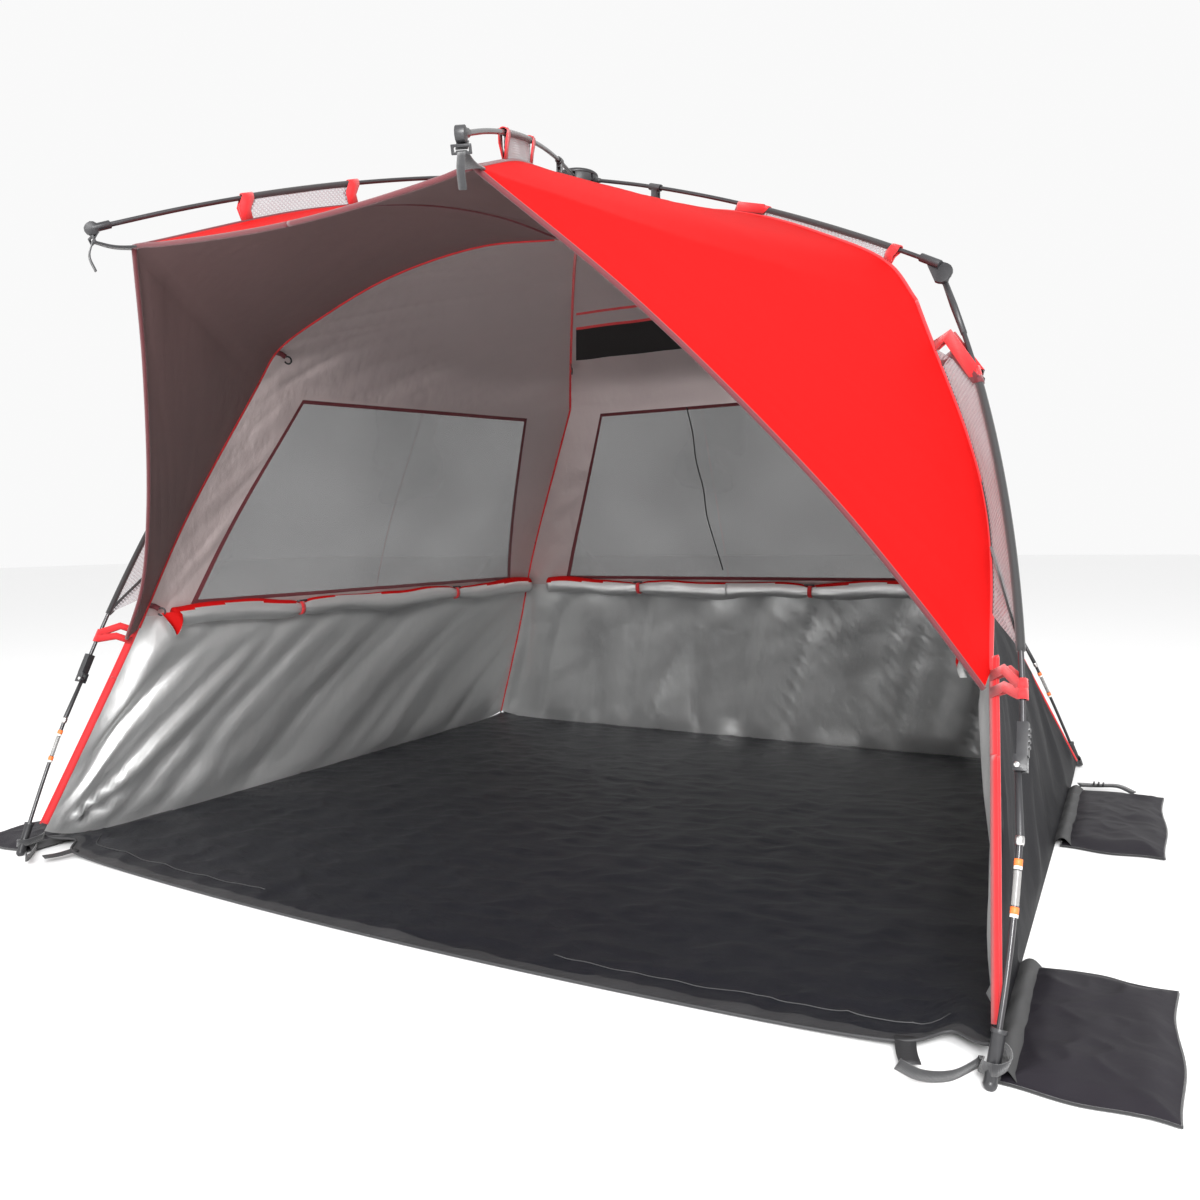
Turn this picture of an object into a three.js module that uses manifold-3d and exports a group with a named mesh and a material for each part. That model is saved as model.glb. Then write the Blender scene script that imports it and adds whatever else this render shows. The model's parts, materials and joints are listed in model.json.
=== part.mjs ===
// Pop up beach tent: an umbrella hub with six hinged ribs, four of which carry folding legs,
// and a canopy with a front awning, three walls and a floor sheet hung under them.
// Millimetres, +Z up, +X to the right, the open front facing -Y.
// The origin is the middle of the floor, on the ground.

import * as THREE from "three";
import { mergeVertices } from "three/addons/utils/BufferGeometryUtils.js";
import Module from "manifold-3d";

const wasm = await Module();
wasm.setup();

// ---------------------------------------------------------------- driving dimensions

const FLOOR_HALF_WIDTH = 1100;
const FLOOR_HALF_DEPTH = 995;
const CORNER_LIFT = 38; // the floor's corners are pulled up towards the feet
const FLOOR_BOW = 50; // how far the floor's front edge bows forward

const HUB_Y = -213; // the hub stands a little in front of the floor's middle
const HUB_HEIGHT = 1645; // height of the rib hinges
const HINGE_RADIUS = 45; // rib hinges, from the hub's axis
const HUB_RADIUS = 54;

const RUNNER_DROP = 55; // strut pivots on the runner, below the rib hinges
const RUNNER_PIVOT_RADIUS = 62;
const RUNNER_TRAVEL = 385.5;

const ROD_RADIUS = 4.5;
const ROD_SIDES = 8;
const RUN_GAP = 1.2; // between a rod and the sleeve round it
const SIDE_GAP = 0.4; // between faces that slide on each other
const PIN_SIDES = 8;
const SLEEVE_SIDES = 10;

const LEG_RIB = { elbowRadius: 980, elbowHeight: 1247, turn: 11.5, collarRadius: 262, lug: 24 };
const AWNING_RIB = { tipRadius: 1133, tipHeight: 1327, turn: 15, collarRadius: 270, lug: 24 };
const FRONT_LEG = {
  name: "front",
  azimuth: -15.5,
  foot: [1105, -1053],
  seamBends: [[1031, -605, 810], [1063, -760, 485]],
  seamEnd: 46, // height of the canopy seam's lower end
};
const REAR_LEG = {
  name: "rear",
  azimuth: 58,
  foot: [1105, 1035],
  seamBends: [[802, 792, 670], [918, 882, 420]],
  seamEnd: 24,
};
const AWNING_AZIMUTH = -68.5;

const RIB_FOLD = 64.5; // degrees from open to hanging beside the hub's axis
const AWNING_FOLD = 67.13;
const LEG_SAGITTA = 83; // outward bow of a whole leg
const LATCH_SHARE = 0.68; // how far down the leg the mid-leg latch is
const LATCH_FOLD = 160;
const LEG_OFFSET = 14.1; // a leg runs this far beside its rib's plane

const FABRIC_THICKNESS = 3;
const SEAM_INSET = 5; // each panel stops this far short of the seam line
const SEAM_START_RADIUS = 62; // the panels' tips, from the hub's axis
const POCKET_THICKNESS = 26;
const POCKET_GAP = 14; // between the floor and a sand pocket
const POCKET_OUTER = 1334;
const FRONT_POCKET = [-1040, -620]; // the front pocket's two ends along Y
const REAR_POCKET = [110, 700];
const ROLL_RADIUS = 19;
const ROLL_HEIGHT = 590;
const SIDE_ROLL_FRONT = [985, -520];
const SIDE_ROLL_REAR = [822, 640];
const REAR_ROLL_END = [640, 742];

// ---------------------------------------------------------------- colours

function paint(color, roughness, metalness = 0) {
  return new THREE.MeshStandardMaterial({ color, roughness, metalness });
}
const blackPlastic = () => paint(0x17171a, 0.5);
const rodCoat = () => paint(0x2a282b, 0.4, 0.2);
const steel = () => paint(0x9a9a9c, 0.35, 0.9);
const redFabric = () => paint(0xf02a22, 0.8);
const silverFabric = () => paint(0xa9a6a4, 0.45);
const blackFabric = () => paint(0x1c1c22, 0.75);

// ---------------------------------------------------------------- vectors, frames and curves

const vec = (x, y, z) => new THREE.Vector3(x, y, z);
const UP = vec(0, 0, 1);
const along = (origin, direction, distance) => origin.clone().addScaledVector(direction, distance);
const between = (a, b) => b.clone().sub(a).normalize();

// The outward direction at an azimuth, and a point at a radius and height from the hub's axis.
function outward(azimuth) {
  return vec(Math.cos(THREE.MathUtils.degToRad(azimuth)), Math.sin(THREE.MathUtils.degToRad(azimuth)), 0);
}
function atHub(azimuth, radius, height) {
  return along(vec(0, HUB_Y, height), outward(azimuth), radius);
}

// A placing matrix with its X and Y axes along two perpendicular directions.
function frameAt(origin, xAxis, yAxis) {
  const zAxis = xAxis.clone().cross(yAxis);
  return new THREE.Matrix4().makeBasis(xAxis, yAxis, zAxis).setPosition(origin);
}

// A circular arc from start to end that stands off its chord by sagitta, towards side.
class BowedCurve extends THREE.Curve {
  constructor(start, end, side, sagitta) {
    super();
    this.start = start;
    this.chord = end.clone().sub(start);
    this.length = this.chord.length();
    this.chord.normalize();
    this.side = side.clone().addScaledVector(this.chord, -side.dot(this.chord)).normalize();
    this.turn = 4 * Math.atan((2 * sagitta) / this.length);
    this.radius = this.length / 2 / Math.sin(this.turn / 2);
  }
  getPoint(t) {
    const angle = (t - 0.5) * this.turn;
    const forward = this.length / 2 + this.radius * Math.sin(angle);
    const lift = this.radius * (Math.cos(angle) - Math.cos(this.turn / 2));
    return along(along(this.start, this.chord, forward), this.side, lift);
  }
}

// The stretch of a curve between two shares of its length.
class Stretch extends THREE.Curve {
  constructor(curve, from, to) {
    super();
    Object.assign(this, { curve, from, to });
  }
  getPoint(t) {
    return this.curve.getPoint(this.from + (this.to - this.from) * t);
  }
}

function smoothCurve(points) {
  return new THREE.CatmullRomCurve3(points, false, "centripetal");
}

// ---------------------------------------------------------------- solids

function solidOf(geometry, matrix = new THREE.Matrix4()) {
  const bare = new THREE.BufferGeometry();
  const flat = geometry.index ? geometry.toNonIndexed() : geometry;
  bare.setAttribute("position", flat.getAttribute("position").clone()).applyMatrix4(matrix);
  const merged = mergeVertices(bare, 1e-3);
  return new wasm.Manifold(
    new wasm.Mesh({
      numProp: 3,
      vertProperties: merged.attributes.position.array,
      triVerts: new Uint32Array(merged.index.array),
    }),
  );
}

function joined(...solids) {
  return solids.reduce((whole, solid) => whole.add(solid));
}

function meshOf(name, solid, material) {
  const made = solid.getMesh();
  const geometry = new THREE.BufferGeometry();
  geometry.setAttribute("position", new THREE.BufferAttribute(new Float32Array(made.vertProperties), 3));
  geometry.setIndex(new THREE.BufferAttribute(new Uint32Array(made.triVerts), 1));
  geometry.computeVertexNormals();
  const mesh = new THREE.Mesh(geometry, material);
  mesh.name = name;
  return mesh;
}

// A box between two corners, in a frame.
function block(low, high, frame) {
  const size = high.map((v, i) => v - low[i]);
  const geometry = new THREE.BoxGeometry(...size);
  geometry.translate(...high.map((v, i) => (v + low[i]) / 2));
  return solidOf(geometry, frame);
}

// A cylinder along a frame's Y axis, from y0 to y1, centred at x, z.
function pinAlongY(frame, radius, y0, y1, x = 0, z = 0, sides = PIN_SIDES) {
  const geometry = new THREE.CylinderGeometry(radius, radius, y1 - y0, sides);
  geometry.translate(x, (y0 + y1) / 2, z);
  return solidOf(geometry, frame);
}

// A cylinder along a frame's X axis, from x0 to x1.
function barrelAlongX(frame, radius, x0, x1, sides = SLEEVE_SIDES) {
  const geometry = new THREE.CylinderGeometry(radius, radius, x1 - x0, sides);
  geometry.rotateZ(Math.PI / 2).translate((x0 + x1) / 2, 0, 0);
  return solidOf(geometry, frame);
}

// A turned solid about a frame's Z axis. The profile runs [radius, z] and starts and ends on the axis.
function turned(profile, frame, sides = 24) {
  const points = profile.map(([radius, z]) => new THREE.Vector2(radius, z));
  const geometry = new THREE.LatheGeometry(points, sides);
  geometry.rotateX(Math.PI / 2);
  return solidOf(geometry, frame);
}

function rodAlong(curve, steps) {
  const shape = new THREE.Shape().absarc(0, 0, ROD_RADIUS, 0, 2 * Math.PI);
  const options = { extrudePath: curve, steps, curveSegments: ROD_SIDES / 2, bevelEnabled: false };
  return solidOf(new THREE.ExtrudeGeometry(shape, options));
}

// A closed sheet of fabric. place(u, v) gives a point of its middle surface.
function sheet(place, columns, rows, thickness) {
  const step = 1e-3;
  const stride = rows + 1;
  const middle = [];
  const normals = [];
  for (let i = 0; i <= columns; i++) {
    for (let j = 0; j <= rows; j++) {
      const u = i / columns;
      const v = j / rows;
      const acrossU = place(Math.min(1, u + step), v).sub(place(Math.max(0, u - step), v));
      const acrossV = place(u, Math.min(1, v + step)).sub(place(u, Math.max(0, v - step)));
      middle.push(place(u, v));
      normals.push(acrossU.cross(acrossV).normalize());
    }
  }
  const half = thickness / 2;
  const faceOf = (offset) => middle.map((p, k) => along(p, normals[k], offset));
  const corners = [...faceOf(half), ...faceOf(-half)];
  const below = middle.length;
  const triangles = [];
  const quad = (a, b, c, d) => triangles.push(a, b, c, a, c, d);
  for (let i = 0; i < columns; i++) {
    for (let j = 0; j < rows; j++) {
      const a = i * stride + j;
      quad(a, a + stride, a + stride + 1, a + 1);
      quad(below + a, below + a + 1, below + a + stride + 1, below + a + stride);
    }
  }
  const rim = [];
  for (let i = 0; i < columns; i++) rim.push(i * stride);
  for (let j = 0; j < rows; j++) rim.push(columns * stride + j);
  for (let i = columns; i > 0; i--) rim.push(i * stride + rows);
  for (let j = rows; j > 0; j--) rim.push(j);
  rim.forEach((a, k) => {
    const b = rim[(k + 1) % rim.length];
    quad(b, a, below + a, below + b);
  });
  const geometry = new THREE.BufferGeometry();
  geometry.setAttribute("position", new THREE.Float32BufferAttribute(corners.flatMap((p) => p.toArray()), 3));
  geometry.setIndex(triangles);
  return solidOf(geometry);
}

// ---------------------------------------------------------------- the scene graph and its joints

const tent = new THREE.Group();
const halves = { right: new THREE.Group(), left: new THREE.Group() };
halves.left.scale.x = -1; // the left half is the right half mirrored
tent.add(halves.right, halves.left);

// Joint axes and ranges, in degrees or millimetres from the open tent. They are kept on the group.
const joints = [];
tent.userData.joints = joints;

function addJoint(joint, side) {
  const mirror = side === "left";
  const position = joint.position.clone();
  const axis = joint.axis.clone().normalize();
  if (mirror) {
    position.x *= -1;
    axis.y *= -1;
    axis.z *= -1;
  }
  joints.push({ ...joint, position: position.toArray(), axis: axis.toArray() });
}

// ---------------------------------------------------------------- hub and runner

const allAzimuths = [FRONT_LEG.azimuth, REAR_LEG.azimuth, AWNING_AZIMUTH].flatMap((a) => [a, 180 - a]);
const hubFrame = new THREE.Matrix4().makeTranslation(0, HUB_Y, HUB_HEIGHT);

function radialSlots(innerRadius, outerRadius, width, low, high) {
  return joined(
    ...allAzimuths.map((azimuth) => {
      const turn = new THREE.Matrix4().makeRotationZ(THREE.MathUtils.degToRad(azimuth));
      const frame = hubFrame.clone().multiply(turn);
      return block([innerRadius, -width / 2, low], [outerRadius, width / 2, high], frame);
    }),
  );
}

const HUB_BOTTOM = -13;
const HUB_TOP = 13;
const POST_RADIUS = 7;
const SLOT_WIDTH = 7;
const WIRE_RADIUS = 1.25;

function hubBody() {
  const profile = [
    [0, -RUNNER_DROP - 2],
    [POST_RADIUS, -RUNNER_DROP - 2],
    [POST_RADIUS, HUB_BOTTOM],
    [HUB_RADIUS - 6, HUB_BOTTOM],
    [HUB_RADIUS, HUB_BOTTOM + 6],
    [HUB_RADIUS, HUB_TOP],
    [0, HUB_TOP],
  ];
  const slots = radialSlots(36, HUB_RADIUS + 4, SLOT_WIDTH, HUB_BOTTOM - 2, HUB_TOP + 2);
  const channel = solidOf(new THREE.TorusGeometry(HINGE_RADIUS, WIRE_RADIUS + SIDE_GAP, 5, 36), hubFrame);
  return meshOf("hub_body", turned(profile, hubFrame, 24).subtract(slots).subtract(channel), blackPlastic());
}

function hubCap() {
  const base = HUB_TOP + SIDE_GAP;
  const dome = new THREE.EllipseCurve(0, 0, HUB_RADIUS, 16, 0, 0.42 * Math.PI);
  const arc = dome.getPoints(4).map((p) => [p.x, base + 3 + p.y]);
  const top = arc.at(-1)[1];
  const profile = [[0, base], [HUB_RADIUS, base], ...arc, [0, top]];
  return meshOf("hub_cap", turned(profile, hubFrame, 24), blackPlastic());
}

function hubWire() {
  const ring = new THREE.TorusGeometry(HINGE_RADIUS, WIRE_RADIUS, 5, 36);
  return meshOf("hub_wire", solidOf(ring, hubFrame), steel());
}

function runner() {
  const low = -RUNNER_DROP - 12;
  const high = -RUNNER_DROP + 12;
  const bore = POST_RADIUS + 1;
  const edge = RUNNER_PIVOT_RADIUS + 9;
  const profile = [[0, low], [edge - 5, low], [edge, low + 5], [edge, high], [0, high]];
  const slots = radialSlots(17.5, edge + 4, 8, low - 2, high + 2);
  const hole = turned([[0, low - 2], [bore, low - 2], [bore, high + 2], [0, high + 2]], hubFrame, 16);
  return meshOf("runner", turned(profile, hubFrame, 24).subtract(slots).subtract(hole), blackPlastic());
}

// ---------------------------------------------------------------- ribs, collars and struts

const EYE_RADIUS = 7;
const NECK_LENGTH = 18;
const COLLAR_HALF_LENGTH = 17;
const SLEEVE_RADIUS = 8;
const STRUT_HALF_WIDTH = 2.8;
const EAR_OUTER = 6;
const PIVOT_PIN_RADIUS = 2;

// The rib's curve, from its hinge to its outer end, bowed upwards.
function ribCurve(azimuth, endRadius, endHeight, turn) {
  const hinge = atHub(azimuth, HINGE_RADIUS, HUB_HEIGHT);
  const end = atHub(azimuth, endRadius, endHeight);
  const sagitta = (hinge.distanceTo(end) * Math.tan(THREE.MathUtils.degToRad(turn) / 4)) / 2;
  return new BowedCurve(hinge, end, UP, sagitta);
}

// The curve's share at a radius from the hub's axis.
function shareAtRadius(curve, azimuth, radius) {
  const direction = outward(azimuth);
  let low = 0;
  let high = 1;
  for (let i = 0; i < 30; i++) {
    const middle = (low + high) / 2;
    const reached = curve.getPoint(middle).sub(vec(0, HUB_Y, 0)).dot(direction);
    if (reached < radius) low = middle;
    else high = middle;
  }
  return (low + high) / 2;
}

function ribRod(name, azimuth, curve, endShare) {
  const across = UP.clone().cross(outward(azimuth));
  const frame = frameAt(curve.getPoint(0), curve.getTangent(0), across);
  const eye = pinAlongY(frame, EYE_RADIUS, -3, 3);
  const neck = block([0, -3, -4], [NECK_LENGTH + 8, 3, 4], frame);
  const rod = rodAlong(new Stretch(curve, NECK_LENGTH / curve.length, endShare), 7);
  const hole = pinAlongY(frame, WIRE_RADIUS + SIDE_GAP, -6, 6);
  return meshOf(name, joined(eye, neck, rod).subtract(hole), rodCoat());
}

// Where the strut is pinned to the collar, below the rib's rod.
function collarPivot(azimuth, curve, rib) {
  const share = shareAtRadius(curve, azimuth, rib.collarRadius);
  return along(curve.getPoint(share), UP, -rib.lug);
}

function collar(name, azimuth, curve, rib) {
  const share = shareAtRadius(curve, azimuth, rib.collarRadius);
  const centre = curve.getPoint(share);
  const across = UP.clone().cross(outward(azimuth));
  const frame = frameAt(centre, curve.getTangent(share), across);
  const pivotFrame = frameAt(collarPivot(azimuth, curve, rib), outward(azimuth), across);
  const sleeve = barrelAlongX(frame, SLEEVE_RADIUS, -COLLAR_HALF_LENGTH, COLLAR_HALF_LENGTH);
  const lug = block([-9, -EAR_OUTER, -7], [9, EAR_OUTER, rib.lug - 4], pivotFrame);
  const slotHalf = STRUT_HALF_WIDTH + SIDE_GAP;
  const slot = block([-40, -slotHalf, -20], [20, slotHalf, 8], pivotFrame);
  const pin = pinAlongY(pivotFrame, PIVOT_PIN_RADIUS, -EAR_OUTER - 1, EAR_OUTER + 1);
  const bore = barrelAlongX(frame, ROD_RADIUS + RUN_GAP, -COLLAR_HALF_LENGTH - 2, COLLAR_HALF_LENGTH + 2);
  return meshOf(name, joined(sleeve, lug).subtract(slot).add(pin).subtract(bore), blackPlastic());
}

function strut(name, azimuth, curve, rib) {
  const outer = collarPivot(azimuth, curve, rib);
  const inner = atHub(azimuth, RUNNER_PIVOT_RADIUS, HUB_HEIGHT - RUNNER_DROP);
  const across = UP.clone().cross(outward(azimuth));
  const frame = frameAt(outer, between(outer, inner), across.negate());
  const length = outer.distanceTo(inner);
  const bar = block([0, -STRUT_HALF_WIDTH, -4], [length, STRUT_HALF_WIDTH, 4], frame);
  const ends = [0, length].map((x) => pinAlongY(frame, 5.2, -STRUT_HALF_WIDTH, STRUT_HALF_WIDTH, x));
  const hole = pinAlongY(frame, PIVOT_PIN_RADIUS + SIDE_GAP, -6, 6);
  return meshOf(name, joined(bar, ...ends).subtract(hole), blackPlastic());
}

// Adds the collar, the strut and the two hinges that a rib of either kind has.
function addRibLinkage(side, label, azimuth, curve, rib, fold) {
  const half = halves[side];
  half.add(collar(`collar_${label}`, azimuth, curve, rib), strut(`strut_${label}`, azimuth, curve, rib));
  const across = UP.clone().cross(outward(azimuth));
  const hinge = curve.getPoint(0);
  const pivot = collarPivot(azimuth, curve, rib);
  const inner = atHub(azimuth, RUNNER_PIVOT_RADIUS, HUB_HEIGHT - RUNNER_DROP);
  const ribHinge = { name: `rib_hinge_${label}`, parent: "hub", child: `rib_${label}` };
  addJoint({ ...ribHinge, position: hinge, axis: across, fold }, side);
  const strutHinge = { name: `strut_hinge_${label}`, parent: `rib_${label}`, child: `strut_${label}` };
  const swing = fold + strutSwing(hinge, pivot, inner, fold);
  addJoint({ ...strutHinge, position: pivot, axis: across.clone().negate(), fold: swing }, side);
}

// How far a strut turns in space while its rib folds, so that its inner end meets the lowered runner.
function strutSwing(hinge, pivot, inner, fold) {
  const radiusOf = (p) => Math.hypot(p.x, p.y - HUB_Y);
  const arm = Math.hypot(radiusOf(pivot) - HINGE_RADIUS, hinge.z - pivot.z);
  const restDip = Math.atan2(hinge.z - pivot.z, radiusOf(pivot) - HINGE_RADIUS);
  const dip = restDip + THREE.MathUtils.degToRad(fold);
  const foldedRadius = HINGE_RADIUS + arm * Math.cos(dip);
  const foldedHeight = hinge.z - arm * Math.sin(dip);
  const runnerHeight = inner.z - RUNNER_TRAVEL;
  const before = Math.atan2(pivot.z - inner.z, radiusOf(pivot) - RUNNER_PIVOT_RADIUS);
  const after = Math.atan2(foldedHeight - runnerHeight, foldedRadius - RUNNER_PIVOT_RADIUS);
  return THREE.MathUtils.radToDeg(after - before);
}

// ---------------------------------------------------------------- awning ribs with tip caps and buckles

const TIP_HEAD_RADIUS = 12;
const TIP_SLEEVE = 34;

function tipCap(name, curve, across) {
  const frame = frameAt(curve.getPoint(1), curve.getTangent(1), across);
  const sleeve = barrelAlongX(frame, 7.5, -TIP_SLEEVE, 0);
  const head = pinAlongY(frame, TIP_HEAD_RADIUS, -7, 7, 0, 0, 12);
  const bore = barrelAlongX(frame, ROD_RADIUS + RUN_GAP, -TIP_SLEEVE - 2, -10);
  return meshOf(name, joined(sleeve, head).subtract(bore), blackPlastic());
}

// A flat bar buckle that hangs under the tip cap and takes the canopy's corner strap.
function buckle(name, curve, across) {
  const centre = along(curve.getPoint(1), UP, -TIP_HEAD_RADIUS - 9);
  const frame = frameAt(centre, curve.getTangent(1), across);
  const plate = block([-2, -15, -7], [2, 15, 7], frame);
  const slot = block([-4, -11, -3], [4, 11, 3], frame);
  return meshOf(name, plate.subtract(slot), blackPlastic());
}

function addAwningRib(side) {
  const label = `awning_${side}`;
  const azimuth = AWNING_AZIMUTH;
  const across = UP.clone().cross(outward(azimuth));
  const curve = ribCurve(azimuth, AWNING_RIB.tipRadius, AWNING_RIB.tipHeight, AWNING_RIB.turn);
  const rodEnd = 1 - 11 / curve.length;
  halves[side].add(
    ribRod(`rib_${label}`, azimuth, curve, rodEnd),
    tipCap(`tip_cap_${side}`, curve, across),
    buckle(`buckle_${side}`, curve, across),
  );
  addRibLinkage(side, label, azimuth, curve, AWNING_RIB, AWNING_FOLD);
}

// ---------------------------------------------------------------- leg ribs, elbows, legs, latches and feet

const SOCKET_NEAR = -18; // the elbow's socket, along the rib from its outer end
const SOCKET_FAR = -62;
const CHEEK_INNER = 2;
const CHEEK_OUTER = 8.2;
const ELBOW_PIN_X = -2; // the elbow's pin, from the rib's outer end: along the rib and below it
const ELBOW_PIN_Z = -16;
const ELBOW_PIN_RADIUS = 3;
const LEG_EYE_HALF = 5.5;
const LATCH_HALF_WIDTH = 9;
const LATCH_PIN_SETBACK = -7; // the latch pin is on the tent's side of the rods
const LATCH_PIN_RADIUS = 2.5;
const HEAD_HALF_WIDTH = 6;
const FOOT_SLEEVE_RADIUS = 9.5;
const FOOT_SLEEVE_LENGTH = 72;
const FOOT_BALL_RADIUS = 10;

// The leg's plane: its hinge axis stands square to the rib's chord and to the line down to the foot.
function legPlan(leg) {
  const rib = ribCurve(leg.azimuth, LEG_RIB.elbowRadius, LEG_RIB.elbowHeight, LEG_RIB.turn);
  const end = rib.getPoint(1);
  const foot = vec(...leg.foot, FOOT_BALL_RADIUS - 2);
  const inward = rib.chord.clone().negate();
  const axis = between(end, foot).cross(inward).normalize();
  const reach = rib.getTangent(1);
  const xAxis = reach.clone().addScaledVector(axis, -reach.dot(axis)).normalize();
  const elbow = frameAt(end, xAxis, axis);
  const pivot = vec(ELBOW_PIN_X, 0, ELBOW_PIN_Z).applyMatrix4(elbow);
  const start = along(pivot, axis, LEG_OFFSET);
  const curve = new BowedCurve(start, foot, rib.chord, LEG_SAGITTA);
  const latch = curve.getPoint(LATCH_SHARE);
  const bend = between(start, latch).angleTo(rib.chord);
  const straighten = THREE.MathUtils.radToDeg(bend); // the elbow's turn until the leg is in line with its rib
  return { rib, reach, axis, elbow, start, foot, curve, latch, straighten };
}

function elbowBracket(name, plan) {
  const socketFrame = frameAt(plan.rib.getPoint(1), plan.reach, UP.clone().cross(plan.reach).normalize());
  const socket = barrelAlongX(socketFrame, SLEEVE_RADIUS, SOCKET_FAR, SOCKET_NEAR);
  const bore = barrelAlongX(socketFrame, ROD_RADIUS + RUN_GAP, SOCKET_FAR - 2, SOCKET_NEAR - 4);
  const outline = new THREE.Shape();
  outline.moveTo(-58, 7);
  outline.lineTo(-8, 9);
  outline.quadraticCurveTo(10, 8, 12, -10);
  outline.lineTo(12, -22);
  outline.quadraticCurveTo(8, -34, -8, -32);
  outline.lineTo(-44, -7);
  outline.closePath();
  const plate = new THREE.ExtrudeGeometry(outline, {
    depth: CHEEK_OUTER - CHEEK_INNER,
    bevelEnabled: false,
    curveSegments: 4,
  });
  plate.rotateX(Math.PI / 2).translate(0, CHEEK_OUTER, 0);
  const eyeNear = CHEEK_OUTER;
  const eyeFar = LEG_OFFSET + LEG_EYE_HALF + SIDE_GAP;
  const pin = pinAlongY(plan.elbow, ELBOW_PIN_RADIUS, eyeNear - 1, eyeFar + 1, ELBOW_PIN_X, ELBOW_PIN_Z);
  const head = pinAlongY(plan.elbow, 7.5, eyeFar, eyeFar + 3, ELBOW_PIN_X, ELBOW_PIN_Z);
  const cheek = solidOf(plate, plan.elbow);
  return meshOf(name, joined(socket, cheek).subtract(bore).add(pin).add(head), blackPlastic());
}

function legUpper(name, plan) {
  const frame = frameAt(plan.start, plan.curve.getTangent(0), plan.axis);
  const eye = pinAlongY(frame, 9, -LEG_EYE_HALF, LEG_EYE_HALF, 0, 0, 12);
  const neck = block([0, -LEG_EYE_HALF, -6], [34, LEG_EYE_HALF, 6], frame);
  const hole = pinAlongY(frame, ELBOW_PIN_RADIUS + SIDE_GAP, -9, 9);
  const from = 24 / plan.curve.length;
  const rod = rodAlong(new Stretch(plan.curve, from, LATCH_SHARE - 20 / plan.curve.length), 10);
  return meshOf(name, joined(eye, neck, rod).subtract(hole), rodCoat());
}

function latchFrame(plan) {
  return frameAt(plan.latch, plan.curve.getTangent(LATCH_SHARE), plan.axis);
}

function latch(name, plan) {
  const frame = latchFrame(plan);
  const housing = block([-66, -LATCH_HALF_WIDTH, -8], [-14, LATCH_HALF_WIDTH, 8], frame);
  const grips = [0, 1, 2, 3].map((i) => block([-58 + 9 * i, -7, 6], [-53 + 9 * i, 7, 10], frame));
  const cheeks = block([-16, -LATCH_HALF_WIDTH, -13], [9, LATCH_HALF_WIDTH, 7], frame);
  const room = block([-14, -HEAD_HALF_WIDTH - SIDE_GAP, -16], [14, HEAD_HALF_WIDTH + SIDE_GAP, 10], frame);
  const pinHalf = LATCH_HALF_WIDTH + 1;
  const pin = pinAlongY(frame, LATCH_PIN_RADIUS, -pinHalf, pinHalf, 0, LATCH_PIN_SETBACK);
  const bore = barrelAlongX(frame, ROD_RADIUS + RUN_GAP, -70, -18);
  const body = joined(housing, cheeks, ...grips).subtract(room).add(pin).subtract(bore);
  return meshOf(name, body, blackPlastic());
}

function legLower(name, plan) {
  const frame = latchFrame(plan);
  const eye = pinAlongY(frame, 5.5, -HEAD_HALF_WIDTH, HEAD_HALF_WIDTH, 0, LATCH_PIN_SETBACK);
  const web = block([-5, -HEAD_HALF_WIDTH, LATCH_PIN_SETBACK], [8, HEAD_HALF_WIDTH, 5], frame);
  const neck = block([4, -HEAD_HALF_WIDTH, -5], [26, HEAD_HALF_WIDTH, 5], frame);
  const ferrule = barrelAlongX(frame, 6.5, 25, 34);
  const hole = pinAlongY(frame, LATCH_PIN_RADIUS + SIDE_GAP, -9, 9, 0, LATCH_PIN_SETBACK);
  const from = LATCH_SHARE + 22 / plan.curve.length;
  const to = 1 - 16 / plan.curve.length;
  const rod = rodAlong(new Stretch(plan.curve, from, to), 5);
  return meshOf(name, joined(eye, web, neck, ferrule, rod).subtract(hole), rodCoat());
}

// A sleeve with a ball end that is flat where it stands on the ground.
function foot(name, plan) {
  const mouth = plan.curve.getPoint(1 - FOOT_SLEEVE_LENGTH / plan.curve.length);
  const frame = frameAt(plan.foot, between(mouth, plan.foot), plan.axis);
  const sleeve = barrelAlongX(frame, FOOT_SLEEVE_RADIUS, -FOOT_SLEEVE_LENGTH, -3);
  const rim = barrelAlongX(frame, FOOT_SLEEVE_RADIUS + 2, -FOOT_SLEEVE_LENGTH, 6 - FOOT_SLEEVE_LENGTH);
  const ballFrame = new THREE.Matrix4().setPosition(plan.foot);
  const ball = solidOf(new THREE.SphereGeometry(FOOT_BALL_RADIUS, 10, 6), ballFrame);
  const bore = barrelAlongX(frame, ROD_RADIUS + RUN_GAP, -FOOT_SLEEVE_LENGTH - 8, -14);
  const groundFrame = new THREE.Matrix4().makeTranslation(plan.foot.x, plan.foot.y, 0);
  const ground = block([-60, -60, -60], [60, 60, 0], groundFrame);
  return meshOf(name, joined(sleeve, rim, ball).subtract(bore).subtract(ground), blackPlastic());
}

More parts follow.
